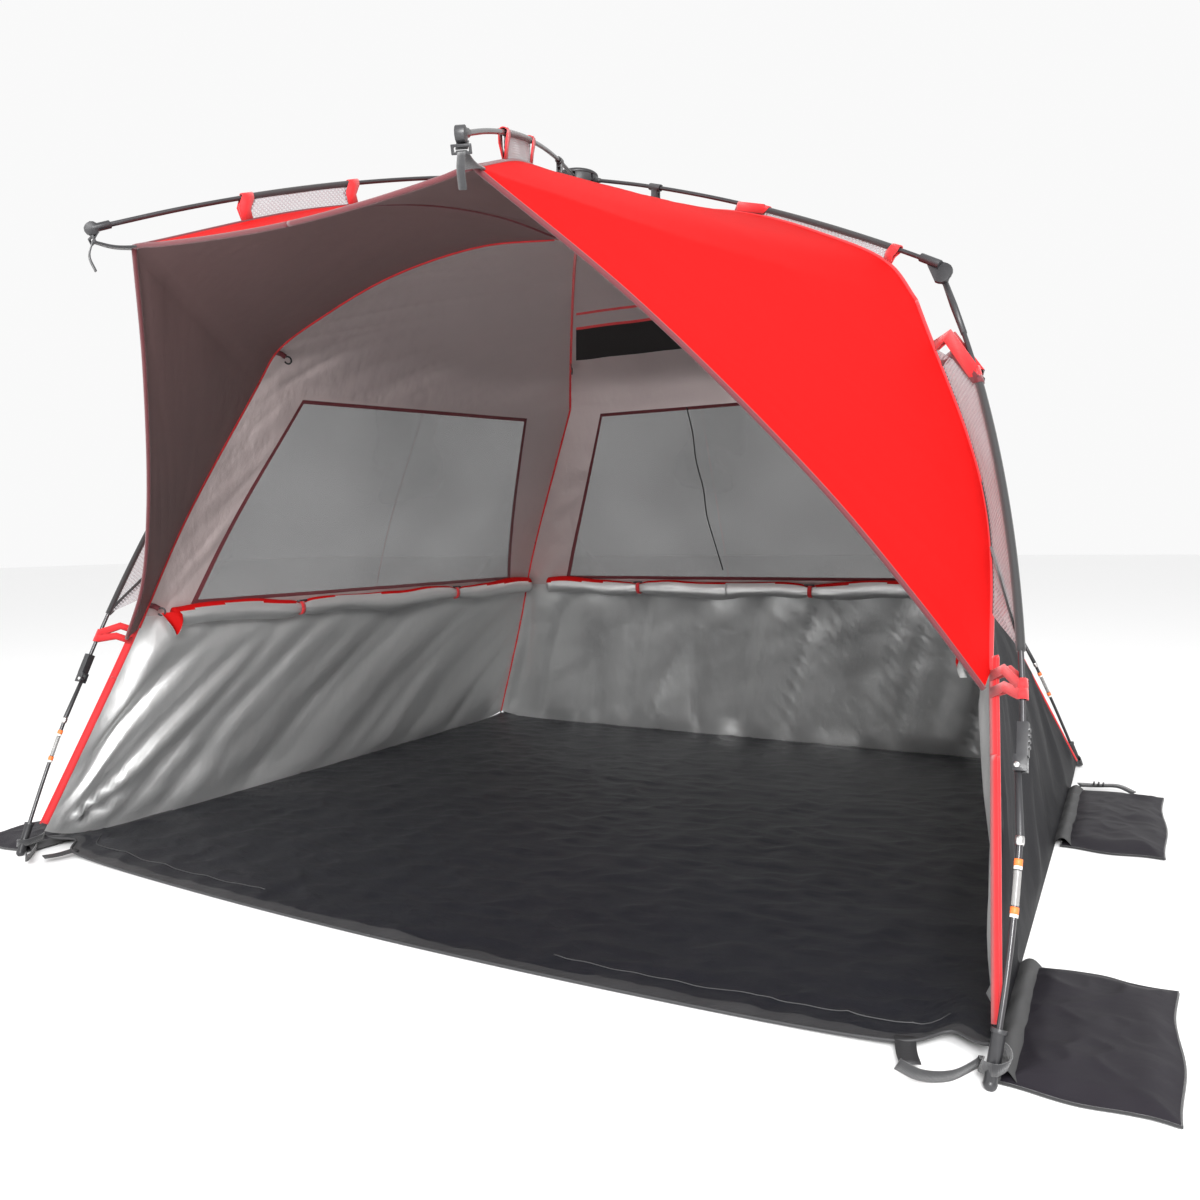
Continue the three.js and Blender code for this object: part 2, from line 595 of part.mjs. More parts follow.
function addLegRib(side, leg) {
  const label = `${leg.name}_${side}`;
  const plan = legPlan(leg);
  const rodEnd = 1 + (SOCKET_NEAR - 5) / plan.rib.length;
  halves[side].add(
    ribRod(`rib_${label}`, leg.azimuth, plan.rib, rodEnd),
    elbowBracket(`elbow_${label}`, plan),
    legUpper(`leg_upper_${label}`, plan),
    latch(`latch_${label}`, plan),
    legLower(`leg_lower_${label}`, plan),
    foot(`foot_${label}`, plan),
  );
  addRibLinkage(side, label, leg.azimuth, plan.rib, LEG_RIB, RIB_FOLD);
  const elbow = { name: `elbow_${label}`, parent: `rib_${label}`, child: `leg_upper_${label}` };
  const outwards = plan.axis.clone().negate();
  addJoint({ ...elbow, position: plan.start, axis: outwards, fold: plan.straighten }, side);
  const latchPin = vec(0, 0, LATCH_PIN_SETBACK).applyMatrix4(latchFrame(plan));
  const midLeg = { name: `latch_${label}`, parent: `leg_upper_${label}`, child: `leg_lower_${label}` };
  addJoint({ ...midLeg, position: latchPin, axis: plan.axis, fold: LATCH_FOLD }, side);
}

// ---------------------------------------------------------------- canopy seams

// Under a leg rib the seam runs level from the hub, then bends down to the elbow.
function legRibSeam(azimuth) {
  const profile = [
    [SEAM_START_RADIUS, 1514],
    [262, 1512],
    [510, 1455],
    [710, 1366],
    [860, 1276],
    [917, 1196],
  ];
  return profile.map(([radius, height]) => atHub(azimuth, radius, height));
}

// From the elbow down the leg to the floor's corner. The webs between fabric and rod are widest half way.
function legSeam(leg) {
  const corner = Math.sign(leg.foot[1]) * FLOOR_HALF_DEPTH;
  const bends = leg.seamBends.map((bend) => vec(...bend));
  return [...bends, vec(FLOOR_HALF_WIDTH, corner, leg.seamEnd)];
}

const elbowShare = 0.5; // every panel's rails reach the elbow, or the awning's corner, half way along
const frontRib = smoothCurve(legRibSeam(FRONT_LEG.azimuth));
const rearRib = smoothCurve(legRibSeam(REAR_LEG.azimuth));
const frontLeg = smoothCurve([frontRib.getPoint(1), ...legSeam(FRONT_LEG)]);
const rearLeg = smoothCurve([rearRib.getPoint(1), ...legSeam(REAR_LEG)]);
const awningSeam = smoothCurve(
  [
    [SEAM_START_RADIUS, 1500],
    [237, 1519],
    [452, 1505],
    [709, 1443],
    [1062, 1307],
  ].map(([radius, height]) => atHub(AWNING_AZIMUTH, radius, height)),
);
const awningSideEdge = smoothCurve([
  awningSeam.getPoint(1),
  vec(584, -1043, 1112),
  vec(818, -874, 833),
  vec(959, -797, 639),
  vec(1055, -778, 505),
]);

// A rail that follows one curve to its half way point and another from there on.
function rail(first, second, share) {
  if (share < elbowShare) return first.getPointAt(share / elbowShare);
  return second.getPointAt((share - elbowShare) / (1 - elbowShare));
}

const mirrored = (p) => vec(-p.x, p.y, p.z);
const frontRail = (u, end = 1) => rail(frontRib, new Stretch(frontLeg, 0, end), u);
const rearRail = (u) => rail(rearRib, rearLeg, u);
const awningRail = (u) => rail(awningSeam, awningSideEdge, u);

// A panel stretched between two rails, stopping short of both seam lines, with a slight sag between them.
function stretched(railA, railB, sag, sagDirection) {
  return (u, v) => {
    const a = railA(u);
    const b = railB(u);
    const width = a.distanceTo(b);
    const inset = Math.min(SEAM_INSET / width, 0.3);
    const share = inset + (1 - 2 * inset) * v;
    const dip = sag * 4 * share * (1 - share) * Math.sin(Math.PI * Math.min(1, 2 * u));
    return a.lerp(b, share).addScaledVector(sagDirection, dip);
  };
}

// ---------------------------------------------------------------- fabric pieces

const PANEL_ROWS = 4;
const PANEL_COLUMNS = 12;

function awningFront() {
  const place = stretched(
    (u) => awningSeam.getPointAt(u),
    (u) => mirrored(awningSeam.getPointAt(u)),
    0,
    UP,
  );
  return meshOf("awning_front", sheet(place, PANEL_COLUMNS / 2, PANEL_ROWS, FABRIC_THICKNESS), redFabric());
}

const FRONT_KNEE = 0.62; // share of the front leg seam at the awning's lowest corner

function awningSide(side) {
  const place = stretched((u) => frontRail(0.97 * u, FRONT_KNEE), (u) => awningRail(0.97 * u), 0, UP);
  return meshOf(`awning_${side}`, sheet(place, PANEL_COLUMNS, PANEL_ROWS, FABRIC_THICKNESS), redFabric());
}

function sideWall(side) {
  const place = stretched((u) => rearRail(u), (u) => frontRail(u), 0, UP);
  return meshOf(`wall_${side}`, sheet(place, PANEL_COLUMNS, PANEL_ROWS, FABRIC_THICKNESS), silverFabric());
}

function rearWall() {
  const place = stretched((u) => mirrored(rearRail(u)), (u) => rearRail(u), 0, UP);
  return meshOf("wall_rear", sheet(place, PANEL_COLUMNS, PANEL_ROWS, FABRIC_THICKNESS), silverFabric());
}

function floorSheet() {
  const edge = 8;
  const place = (u, v) => {
    const across = 2 * u - 1;
    const back = 2 * v - 1;
    const bow = FLOOR_BOW * (1 - across ** 2) * (1 - v) ** 4;
    const lift = CORNER_LIFT * (v < 0.5 ? 1 : 0.4) * Math.abs(across) ** 8 * Math.abs(back) ** 8;
    const x = across * (FLOOR_HALF_WIDTH - edge);
    const y = back * (FLOOR_HALF_DEPTH - edge) - bow;
    return vec(x, y, FABRIC_THICKNESS / 2 + lift);
  };
  return meshOf("floor_sheet", sheet(place, 8, 8, FABRIC_THICKNESS), blackFabric());
}

// A rolled window flap: a tube that hangs just inside the wall.
function flapRoll(name, start, end) {
  const middle = start.clone().add(end).multiplyScalar(0.5);
  const frame = frameAt(middle, between(start, end), UP);
  const half = start.distanceTo(end) / 2;
  return meshOf(name, barrelAlongX(frame, ROLL_RADIUS, -half, half), silverFabric());
}

// A flat bag that lies on the ground beside the floor and is filled with sand to hold the tent down.
function sandPocket(name, side, [yNear, yFar]) {
  const inner = FLOOR_HALF_WIDTH + POCKET_GAP;
  const outer = POCKET_OUTER;
  const bevel = 10;
  const shape = new THREE.Shape();
  shape.moveTo(inner + bevel, yNear + bevel);
  shape.lineTo(outer - bevel, yNear + bevel);
  shape.lineTo(outer - bevel, yFar - bevel);
  shape.lineTo(inner + bevel, yFar - bevel);
  shape.closePath();
  const geometry = new THREE.ExtrudeGeometry(shape, {
    depth: POCKET_THICKNESS - 2 * bevel,
    bevelEnabled: true,
    bevelThickness: bevel,
    bevelSize: bevel,
    bevelSegments: 1,
  });
  geometry.translate(0, 0, 1 + bevel);
  return meshOf(`${name}_${side}`, solidOf(geometry), blackFabric());
}

// ---------------------------------------------------------------- assembly

tent.add(hubBody(), hubCap(), hubWire(), runner());
tent.add(awningFront(), rearWall(), floorSheet());
const rearRollEnd = vec(...REAR_ROLL_END, ROLL_HEIGHT);
tent.add(flapRoll("flap_roll_rear", mirrored(rearRollEnd), rearRollEnd));
for (const side of ["right", "left"]) {
  addLegRib(side, FRONT_LEG);
  addLegRib(side, REAR_LEG);
  addAwningRib(side);
  halves[side].add(
    awningSide(side),
    sideWall(side),
    flapRoll(`flap_roll_${side}`, vec(...SIDE_ROLL_FRONT, ROLL_HEIGHT), vec(...SIDE_ROLL_REAR, ROLL_HEIGHT)),
    sandPocket("sand_pocket_front", side, FRONT_POCKET),
    sandPocket("sand_pocket_rear", side, REAR_POCKET),
  );
}

export default tent;
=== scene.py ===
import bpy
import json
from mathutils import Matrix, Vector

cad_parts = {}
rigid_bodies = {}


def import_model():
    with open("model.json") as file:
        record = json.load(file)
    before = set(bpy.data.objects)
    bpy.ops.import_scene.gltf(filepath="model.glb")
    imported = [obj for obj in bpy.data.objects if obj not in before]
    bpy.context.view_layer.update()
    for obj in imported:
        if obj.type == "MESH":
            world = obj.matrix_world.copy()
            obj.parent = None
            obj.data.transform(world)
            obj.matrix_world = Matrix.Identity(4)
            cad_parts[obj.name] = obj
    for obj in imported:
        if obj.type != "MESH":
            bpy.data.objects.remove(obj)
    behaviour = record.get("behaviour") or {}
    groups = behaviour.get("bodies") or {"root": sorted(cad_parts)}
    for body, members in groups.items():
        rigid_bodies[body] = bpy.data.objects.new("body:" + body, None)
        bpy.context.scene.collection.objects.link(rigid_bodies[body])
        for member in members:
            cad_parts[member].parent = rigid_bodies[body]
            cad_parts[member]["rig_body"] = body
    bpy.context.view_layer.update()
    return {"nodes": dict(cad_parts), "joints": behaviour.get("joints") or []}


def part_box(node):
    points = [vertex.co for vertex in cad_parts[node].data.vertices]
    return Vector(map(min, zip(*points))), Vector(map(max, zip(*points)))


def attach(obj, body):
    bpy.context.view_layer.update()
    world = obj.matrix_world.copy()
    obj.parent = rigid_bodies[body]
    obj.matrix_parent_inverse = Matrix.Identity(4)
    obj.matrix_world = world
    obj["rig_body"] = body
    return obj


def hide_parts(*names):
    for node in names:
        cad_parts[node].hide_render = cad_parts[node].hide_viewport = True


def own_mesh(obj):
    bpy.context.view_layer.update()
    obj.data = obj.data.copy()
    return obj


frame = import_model()

# The looks of a pop up beach tent, built round its CAD frame. Metres, +Z up, the open front facing -Y.

import copy
import json
import math

import bmesh
import bpy
import numpy as np
from mathutils import Matrix, Vector, noise

# ---------------------------------------------------------------- places taken from the frame

JOINTS = {joint["name"]: joint for joint in frame["joints"]}
MAIN_JOINT = "rib_hinge_front_right"
SIDES = {"right": 1, "left": -1}
UP = np.array((0.0, 0.0, 1.0))


def pivot(name):
    """A joint's place at rest."""
    return np.array(JOINTS[name]["pos_m"], float)


def middle(node):
    """The middle of a CAD node's box at rest."""
    low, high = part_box(node)
    return np.array((low + high) / 2)


HUB = np.array((*middle("hub_body")[:2], pivot(MAIN_JOINT)[2]))
FLOOR_HIGH = np.array(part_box("floor_sheet")[1])
HALF_WIDTH = FLOOR_HIGH[0] + 0.008
HALF_DEPTH = FLOOR_HIGH[1] + 0.008


def unit(v):
    return v / np.linalg.norm(v)


def mirrored(points, side):
    """Points of the right side, or the same points of the left side."""
    return np.asarray(points, float) * (SIDES[side], 1, 1)


def rib_direction(joint):
    """The level direction from the hub's axis to a rib's hinge."""
    flat = pivot(joint) - HUB
    return unit(flat * (1, 1, 0))


# ---------------------------------------------------------------- cut lines of the canopy, right side

ROD_RADIUS = 0.0045
FABRIC = 0.0014  # thickness of the cloth that is seen
WELD = 1e-5

# Under a leg rib: distance from the hub's axis and height, from the hub to the elbow.
LEG_RIB_SEAM = (
    (0.062, 1.514),
    (0.262, 1.512),
    (0.510, 1.455),
    (0.710, 1.366),
    (0.860, 1.276),
    (0.917, 1.196),
)
AWNING_SEAM = ((0.062, 1.500), (0.237, 1.519), (0.452, 1.505), (0.709, 1.443), (1.062, 1.307))
FRONT_CORNER = (HALF_WIDTH, -HALF_DEPTH, 0.046)
REAR_CORNER = (HALF_WIDTH, HALF_DEPTH, 0.024)
FRONT_LEG_SEAM = ((1.031, -0.605, 0.810), (1.063, -0.760, 0.485), FRONT_CORNER)
REAR_LEG_SEAM = ((0.802, 0.792, 0.670), (0.918, 0.882, 0.420), REAR_CORNER)
AWNING_EDGE = (
    (0.584, -1.043, 1.112),
    (0.818, -0.874, 0.833),
    (0.959, -0.797, 0.639),
    (1.055, -0.778, 0.505),
)
KNEE_HEIGHT = 0.53  # where the awning's side meets the front leg's seam


class Path:
    """A smooth curve through points (centripetal Catmull-Rom), read by its share of the length."""

    STEPS = 40

    def __init__(self, points):
        knots = [np.array(p, float) for p in points]
        knots = [2 * knots[0] - knots[1], *knots, 2 * knots[-1] - knots[-2]]
        dense = [knots[1]]
        for a, b, c, d in zip(knots, knots[1:], knots[2:], knots[3:]):
            dense.extend(self.stretch(a, b, c, d))
        self.points = np.array(dense)
        steps = np.linalg.norm(np.diff(self.points, axis=0), axis=1)
        self.reached = np.concatenate(([0], np.cumsum(steps)))
        self.length = self.reached[-1]

    def stretch(self, a, b, c, d):
        ta, tb, tc = (math.sqrt(max(1e-6, np.linalg.norm(q - p))) for p, q in ((a, b), (b, c), (c, d)))
        start = ((b - a) / ta - (c - a) / (ta + tb) + (c - b) / tb) * tb
        end = ((c - b) / tb - (d - b) / (tb + tc) + (d - c) / tc) * tb
        t = np.linspace(0, 1, self.STEPS + 1)[1:, None]
        return (
            b * (2 * t**3 - 3 * t**2 + 1)
            + start * (t**3 - 2 * t**2 + t)
            + c * (3 * t**2 - 2 * t**3)
            + end * (t**3 - t**2)
        )

    def at(self, share):
        wanted = np.clip(share, 0, 1) * self.length
        return np.stack([np.interp(wanted, self.reached, axis) for axis in self.points.T], axis=-1)

    def share_at_height(self, height):
        shares = self.reached / self.length
        return float(np.interp(-height, -self.points[:, 2], shares))

    def part(self, start, end, count=24):
        return self.at(np.linspace(start, end, count))


def rib_seam(joint, profile):
    """The seam under a rib, in the upright plane through the hub's axis and the rib's hinge."""
    direction = rib_direction(joint)
    return Path([HUB * (1, 1, 0) + direction * radius + UP * height for radius, height in profile])


FRONT_RIB = rib_seam("rib_hinge_front_right", LEG_RIB_SEAM)
REAR_RIB = rib_seam("rib_hinge_rear_right", LEG_RIB_SEAM)
AWNING_RIB = rib_seam("rib_hinge_awning_right", AWNING_SEAM)
FRONT_LEG = Path([FRONT_RIB.points[-1], *FRONT_LEG_SEAM])
REAR_LEG = Path([REAR_RIB.points[-1], *REAR_LEG_SEAM])
AWNING_SIDE = Path([AWNING_RIB.points[-1], *AWNING_EDGE])

# ---------------------------------------------------------------- materials


class Finish:
    """A node material: a Principled shader, with short ways to mix in texture, bump and holes."""

    def __init__(self, name, colour, roughness, metallic=0.0, sheen=0.0, coat=0.0):
        self.material = bpy.data.materials.new(name)
        self.material.use_nodes = True
        self.tree = self.material.node_tree
        self.shader = self.tree.nodes["Principled BSDF"]
        self.shader.inputs["Base Color"].default_value = (*colour, 1)
        self.shader.inputs["Roughness"].default_value = roughness
        self.shader.inputs["Metallic"].default_value = metallic
        self.shader.inputs["Sheen Weight"].default_value = sheen
        self.shader.inputs["Coat Weight"].default_value = coat
        self.colour, self.roughness = colour, roughness
        self.coords = self.tree.nodes.new("ShaderNodeTexCoord")
        self.height = None

    def node(self, kind, sources=(), **settings):
        made = self.tree.nodes.new(kind)
        for key, value in settings.items():
            if hasattr(made, key):
                setattr(made, key, value)
            else:
                made.inputs[key.replace("_", " ")].default_value = value
        for socket, source in sources:
            self.tree.links.new(source, made.inputs[socket])
        return made

    def placed(self, scale=(1, 1, 1), turn=0.0, space="UV"):
        sources = [("Vector", self.coords.outputs[space])]
        mapping = self.node("ShaderNodeMapping", sources)
        mapping.inputs["Scale"].default_value = scale
        mapping.inputs["Rotation"].default_value = (0, 0, turn)
        return mapping.outputs["Vector"]

    def maths(self, operation, a, b):
        made = self.tree.nodes.new("ShaderNodeMath")
        made.operation = operation
        for socket, value in zip(made.inputs, (a, b)):
            if isinstance(value, (int, float)):
                socket.default_value = value
            else:
                self.tree.links.new(value, socket)
        return made.outputs[0]

    def noise(self, scale, detail=3.0, stretch=(1, 1, 1), turn=0.0, space="UV"):
        where = self.placed(stretch, turn, space)
        made = self.node("ShaderNodeTexNoise", [("Vector", where)], Scale=scale, Detail=detail)
        return made.outputs["Fac"]

    def bands(self, pitch, turn=0.0):
        """Ridges that run across the cloth, one every pitch metres, from 0 to 1."""
        where = self.placed(turn=turn)
        made = self.node("ShaderNodeTexWave", [("Vector", where)], Scale=math.pi / 10 / pitch)
        return made.outputs["Fac"]

    def mottle(self, scale, amount, space="UV"):
        """Varies the colour and the roughness a little in soft patches."""
        spread = self.noise(scale, 4, space=space)
        tone = self.node("ShaderNodeMixRGB", [("Fac", spread)])
        tone.inputs["Color1"].default_value = (*[c * (1 - amount) for c in self.colour], 1)
        tone.inputs["Color2"].default_value = (*[min(1, c * (1 + amount)) for c in self.colour], 1)
        self.tree.links.new(tone.outputs["Color"], self.shader.inputs["Base Color"])
        swing = self.maths("MULTIPLY", self.maths("SUBTRACT", spread, 0.5), 0.5 * amount)
        self.tree.links.new(self.maths("ADD", swing, self.roughness), self.shader.inputs["Roughness"])
        return self

    def raise_by(self, source, metres):
        """Adds a height to the bump, in metres."""
        part = self.maths("MULTIPLY", source, metres)
        self.height = part if self.height is None else self.maths("ADD", self.height, part)
        return self

    def weave(self, pitch, depth):
        crossing = self.maths("MULTIPLY", self.bands(pitch), self.bands(pitch, math.pi / 2))
        return self.raise_by(crossing, depth)

    def holes(self, opacity):
        self.tree.links.new(opacity, self.shader.inputs["Alpha"])
        return self

    def done(self):
        if self.height is not None:
            bump = self.node("ShaderNodeBump", [("Height", self.height)], Distance=1.0, Strength=1.0)
            self.tree.links.new(bump.outputs["Normal"], self.shader.inputs["Normal"])
        return self.material


def cloth(name, colour, roughness, crinkle, shine=1.0, metallic=0.0):
    """Woven cloth. crinkle is the height of its small creases, in metres."""
    made = Finish(name, colour, roughness, metallic=metallic)
    made.shader.inputs["Specular IOR Level"].default_value = 0.5 * shine
    made.mottle(3.0, 0.10)
    made.weave(0.0011, 0.00012)
    made.raise_by(made.noise(9, 4, stretch=(1, 0.45, 1), turn=0.7), crinkle)
    made.raise_by(made.noise(38, 3, stretch=(1, 0.5, 1), turn=-0.5), crinkle * 0.16)
    return made


def stitched_tape(name, colour):
    """Binding tape: fine ribs across it. Its UVs run along and across it, in metres."""
    made = Finish(name, colour, 0.7, sheen=0.3)
    made.mottle(12, 0.15)
    made.raise_by(made.bands(0.0016), 0.0002)
    return made.done()


def window_net():
    """Fine dark mesh that lets light through."""
    made = Finish("window_net", (0.13, 0.13, 0.132), 0.75)
    made.mottle(2.0, 0.2)
    grid = made.maths("MULTIPLY", made.bands(0.0013), made.bands(0.0013, math.pi / 2))
    soft = made.noise(1.6, 2)
    opacity = made.maths("ADD", made.maths("MULTIPLY", grid, -0.30), 0.52)
    made.holes(made.maths("ADD", opacity, made.maths("MULTIPLY", soft, 0.30)))
    return made.done()


def web_net():
    """Coarse knitted net with diamond shaped holes."""
    made = Finish("web_net", (0.30, 0.30, 0.31), 0.6, sheen=0.3)
    turned = math.pi / 4
    a, b = made.bands(0.0062, turned), made.bands(0.0062, -turned)
    strand = made.maths("GREATER_THAN", made.maths("MAXIMUM", a, b), 0.72)
    made.holes(made.maths("ADD", made.maths("MULTIPLY", strand, 0.8), 0.2))
    made.raise_by(made.maths("MAXIMUM", a, b), 0.0006)
    return made.done()


def plastic(name, colour, roughness):
    """Moulded plastic with a fine grain, paler along its worn edges."""
    made = Finish(name, colour, roughness, coat=0.05)
    made.mottle(60, 0.25, space="Object")
    made.raise_by(made.noise(900, 2, space="Object"), 0.00008)
    worn = made.tree.nodes.new("ShaderNodeNewGeometry").outputs["Pointiness"]
    edge = made.maths("MULTIPLY", made.maths("SUBTRACT", worn, 0.53), 6.0)
    before = made.shader.inputs["Base Color"].links[0].from_socket
    lighter = made.node("ShaderNodeMixRGB", [("Fac", edge), ("Color1", before)])
    lighter.inputs["Color2"].default_value = (*[min(1, c * 1.5 + 0.02) for c in colour], 1)
    made.tree.links.new(lighter.outputs["Color"], made.shader.inputs["Base Color"])
    return made.done()


def smooth_metal(name, colour, roughness, patches, unevenness, grain, depth, **coating):
    """A metal surface: patches of tone, patches per metre apart, and a fine grain of the given depth."""
    made = Finish(name, colour, roughness, **coating)
    made.mottle(patches, unevenness, space="Object")
    made.raise_by(made.noise(grain, 2, space="Object"), depth)
    return made.done()


def clear_sleeve():
    """Clear, slightly wrinkled film."""
    made = Finish("clear_sleeve", (0.75, 0.74, 0.72), 0.12)
    made.shader.inputs["Alpha"].default_value = 0.28
    made.raise_by(made.noise(90, 2, space="Object"), 0.0003)
    return made.done()


def webbing():
    """Black strap, ribbed along and across."""
    made = Finish("webbing", (0.014, 0.014, 0.016), 0.7, sheen=0.4)
    made.mottle(20, 0.3)
    made.raise_by(made.bands(0.0018), 0.0003)
    made.raise_by(made.bands(0.0012, math.pi / 2), 0.00015)
    return made.done()


RED = (0.45, 0.0035, 0.0035)
SILVER = (0.74, 0.745, 0.74)
ROD_BLACK = (0.035, 0.033, 0.036)
STEEL = (0.62, 0.61, 0.60)
LOOKS = {
    "red": cloth("red_cloth", RED, 0.72, 0.0022, shine=0.22).done(),
    # The awning's underside: its silver coating is painted dark maroon grey as painted shade, with a red
    # tint painted for light shining through the red cloth.
    "lining": cloth("awning_lining_painted_shade", (0.200, 0.122, 0.120), 0.5, 0.004, metallic=0.3).done(),
    # The upper walls' inside: a silver coating, with a painted red tint standing in for light shining
    # through the red cloth.
    "mauve": cloth("upper_lining_painted_red_glow", (0.62, 0.525, 0.515), 0.38, 0.006, metallic=0.6).done(),
    "silver": cloth("lower_lining", SILVER, 0.34, 0.004, metallic=0.75).done(),
    "black": cloth("black_cloth", (0.011, 0.011, 0.013), 0.6, 0.003, shine=0.35).done(),
    "floor": cloth("floor_cloth", (0.0085, 0.0090, 0.0125), 0.42, 0.010, shine=0.7).done(),
    "hem": cloth("floor_hem", (0.030, 0.030, 0.032), 0.5, 0.002).done(),
    "pocket": cloth("pocket_cloth", (0.0145, 0.0125, 0.0170), 0.55, 0.006, shine=0.5).done(),
    "grey_band": cloth("grey_band", (0.050, 0.050, 0.051), 0.6, 0.003).done(),
    "dark_tape": stitched_tape("dark_red_tape", (0.10, 0.005, 0.010)),
    "red_tape": stitched_tape("red_tape", (0.55, 0.008, 0.012)),
    "black_tape": stitched_tape("black_tape", (0.012, 0.012, 0.013)),
    "vent": cloth("vent_net", (0.010, 0.008, 0.008), 0.8, 0.002).done(),
    "window": window_net(),
    "net": web_net(),
    "strap": webbing(),
    "plastic": plastic("black_plastic", (0.018, 0.018, 0.020), 0.42),
    "grey_plastic": plastic("grey_plastic", (0.14, 0.14, 0.145), 0.4),
    "rod": smooth_metal("rod_coat", ROD_BLACK, 0.33, 25, 0.3, 300, 5e-5, metallic=0.35, coat=0.3),
    "metal": smooth_metal("bare_metal", STEEL, 0.28, 40, 0.2, 500, 4e-5, metallic=1.0),
    "orange": plastic("orange_band", (0.85, 0.16, 0.03), 0.5),
    "white": plastic("white_band", (0.75, 0.74, 0.70), 0.5),
    "clear": clear_sleeve(),
}

# ---------------------------------------------------------------- mesh building

TENT_MIDDLE = np.array((0, -0.1, 0.6))  # a point inside the tent, to tell the cloth's outer face
CREASE_ANGLE = math.radians(50)  # edges of built pieces sharper than this are shaded as corners


class Builder:
    """Gathers closed shapes, each with a look and UVs in metres, and makes one object of them."""

    def __init__(self):
        self.points, self.faces, self.looks, self.uvs, self.normals = [], [], [], [], []
        self.count = 0

    def add(self, points, faces, looks, uvs, normals=None):
        """uvs holds one pair for each point. looks is one name, or one for each face."""
        points = np.asarray(points, float).reshape(-1, 3)
        self.points.append(points)
        self.normals.append(np.zeros_like(points) if normals is None else normals)
        self.uvs.append(np.asarray(uvs, float).reshape(-1, 2))
        self.faces.extend([tuple(i + self.count for i in face) for face in faces])
        self.looks.extend([looks] * len(faces) if isinstance(looks, str) else looks)
        self.count += len(points)

    def make(self, name):
        mesh = bpy.data.meshes.new(name)
        points = np.concatenate(self.points)
        mesh.from_pydata(points.tolist(), [], self.faces)
        used = sorted(set(self.looks))
        for look in used:
            mesh.materials.append(LOOKS[look])
        mesh.polygons.foreach_set("material_index", [used.index(look) for look in self.looks])
        mesh.polygons.foreach_set("use_smooth", [True] * len(mesh.polygons))
        corner = np.zeros(len(mesh.loops), np.int32)
        mesh.loops.foreach_get("vertex_index", corner)
        layer = mesh.uv_layers.new(name="metres")
        layer.data.foreach_set("uv", np.concatenate(self.uvs)[corner].ravel())
        mesh.update()
        made = bpy.data.objects.new(name, mesh)
        bpy.context.scene.collection.objects.link(made)
        mesh.set_sharp_from_angle(angle=CREASE_ANGLE)
        mesh.normals_split_custom_set_from_vertices(np.concatenate(self.normals).tolist())
        return made


def grid_normals(points):
    """The unit normal at each point of a grid."""
    down = np.gradient(points, axis=0)
    across = np.gradient(points, axis=1)
    normals = np.cross(down, across)
    return normals / np.maximum(np.linalg.norm(normals, axis=-1, keepdims=True), 1e-12)


def ring_faces(rings, sides):
    """The four-sided faces between rings of points that follow one another."""
    faces = []
    for i in range(rings - 1):
        for j in range(sides):
            a, b = i * sides + j, i * sides + (j + 1) % sides
            faces.append((a, b, b + sides, a + sides))
    return faces


def end_faces(rings, sides):
    """The two faces that close the first and the last ring."""
    last = (rings - 1) * sides
    return [tuple(range(sides - 1, -1, -1)), tuple(last + j for j in range(sides))]


def frames_along(path, hint):
    """Tangent, side and lift directions at each point of a path; side stays near to hint."""
    tangents = np.gradient(path, axis=0)
    tangents /= np.linalg.norm(tangents, axis=1, keepdims=True)
    hint = np.broadcast_to(np.asarray(hint, float), path.shape)
    side = hint - tangents * (hint * tangents).sum(1, keepdims=True)
    side /= np.maximum(np.linalg.norm(side, axis=1, keepdims=True), 1e-9)
    return tangents, side, np.cross(tangents, side)


def add_swept(builder, path, outline, hint, look, scale=None):
    """Sweeps a closed outline (side, lift) along a path. scale gives a size factor for each point."""
    path = np.asarray(path, float)
    _, side, lift = frames_along(path, hint)
    outline = np.asarray(outline, float)
    count = len(outline)
    scale = np.ones(len(path)) if scale is None else np.asarray(scale, float)
    rings = path[:, None] + scale[:, None, None] * (
        side[:, None] * outline[None, :, :1] + lift[:, None] * outline[None, :, 1:]
    )
    steps = np.linalg.norm(np.diff(path, axis=0), axis=1)
    along = np.concatenate(([0], np.cumsum(steps)))
    round_steps = np.linalg.norm(np.roll(outline, -1, axis=0) - outline, axis=1)
    around = np.concatenate(([0], np.cumsum(round_steps)))[:count]
    uv = np.stack(np.broadcast_arrays(along[:, None], around[None]), axis=-1)
    faces = ring_faces(len(path), count) + end_faces(len(path), count)
    builder.add(rings, faces, look, uv)


def circle(radius, sides=12):
    angles = np.arange(sides) * 2 * math.pi / sides
    return np.stack([np.cos(angles), np.sin(angles)], axis=-1) * radius


def add_tube(builder, path, radius, look, sides=10, hint=(0.3, 0.5, 0.8), scale=None):
    add_swept(builder, path, circle(radius, sides), hint, look, scale)


def add_ribbon(builder, path, width, across, look, thickness=0.0013, scale=None):
    """A flat strap along a path, with its width along the across direction."""
    w, t = width / 2, thickness / 2
    outline = [(w, -t), (w, t), (-w, t), (-w, -t)]
    add_swept(builder, path, outline, across, look, scale)


def add_lathe(builder, profile, centre, axis, look, sides=40):
    """Turns a profile of (radius, height) about an axis through centre. It starts and ends on the axis."""
    axis = unit(np.asarray(axis, float))
    start = unit(np.cross(axis, (0.31, 0.87, 0.38)))
    other = np.cross(axis, start)
    angles = np.arange(sides) * 2 * math.pi / sides
    spokes = np.cos(angles)[:, None] * start + np.sin(angles)[:, None] * other
    inner = profile[1:-1]
    rings = np.concatenate([centre + spokes * r + axis * h for r, h in inner])
    ends = [centre + axis * profile[0][1], centre + axis * profile[-1][1]]
    faces = ring_faces(len(inner), sides)
    low, high, last = len(rings), len(rings) + 1, (len(inner) - 1) * sides
    for j in range(sides):
        k = (j + 1) % sides
        faces.append((low, k, j))
        faces.append((high, last + j, last + k))
    points = np.concatenate([rings, ends])
    builder.add(points, faces, look, points[:, :2])


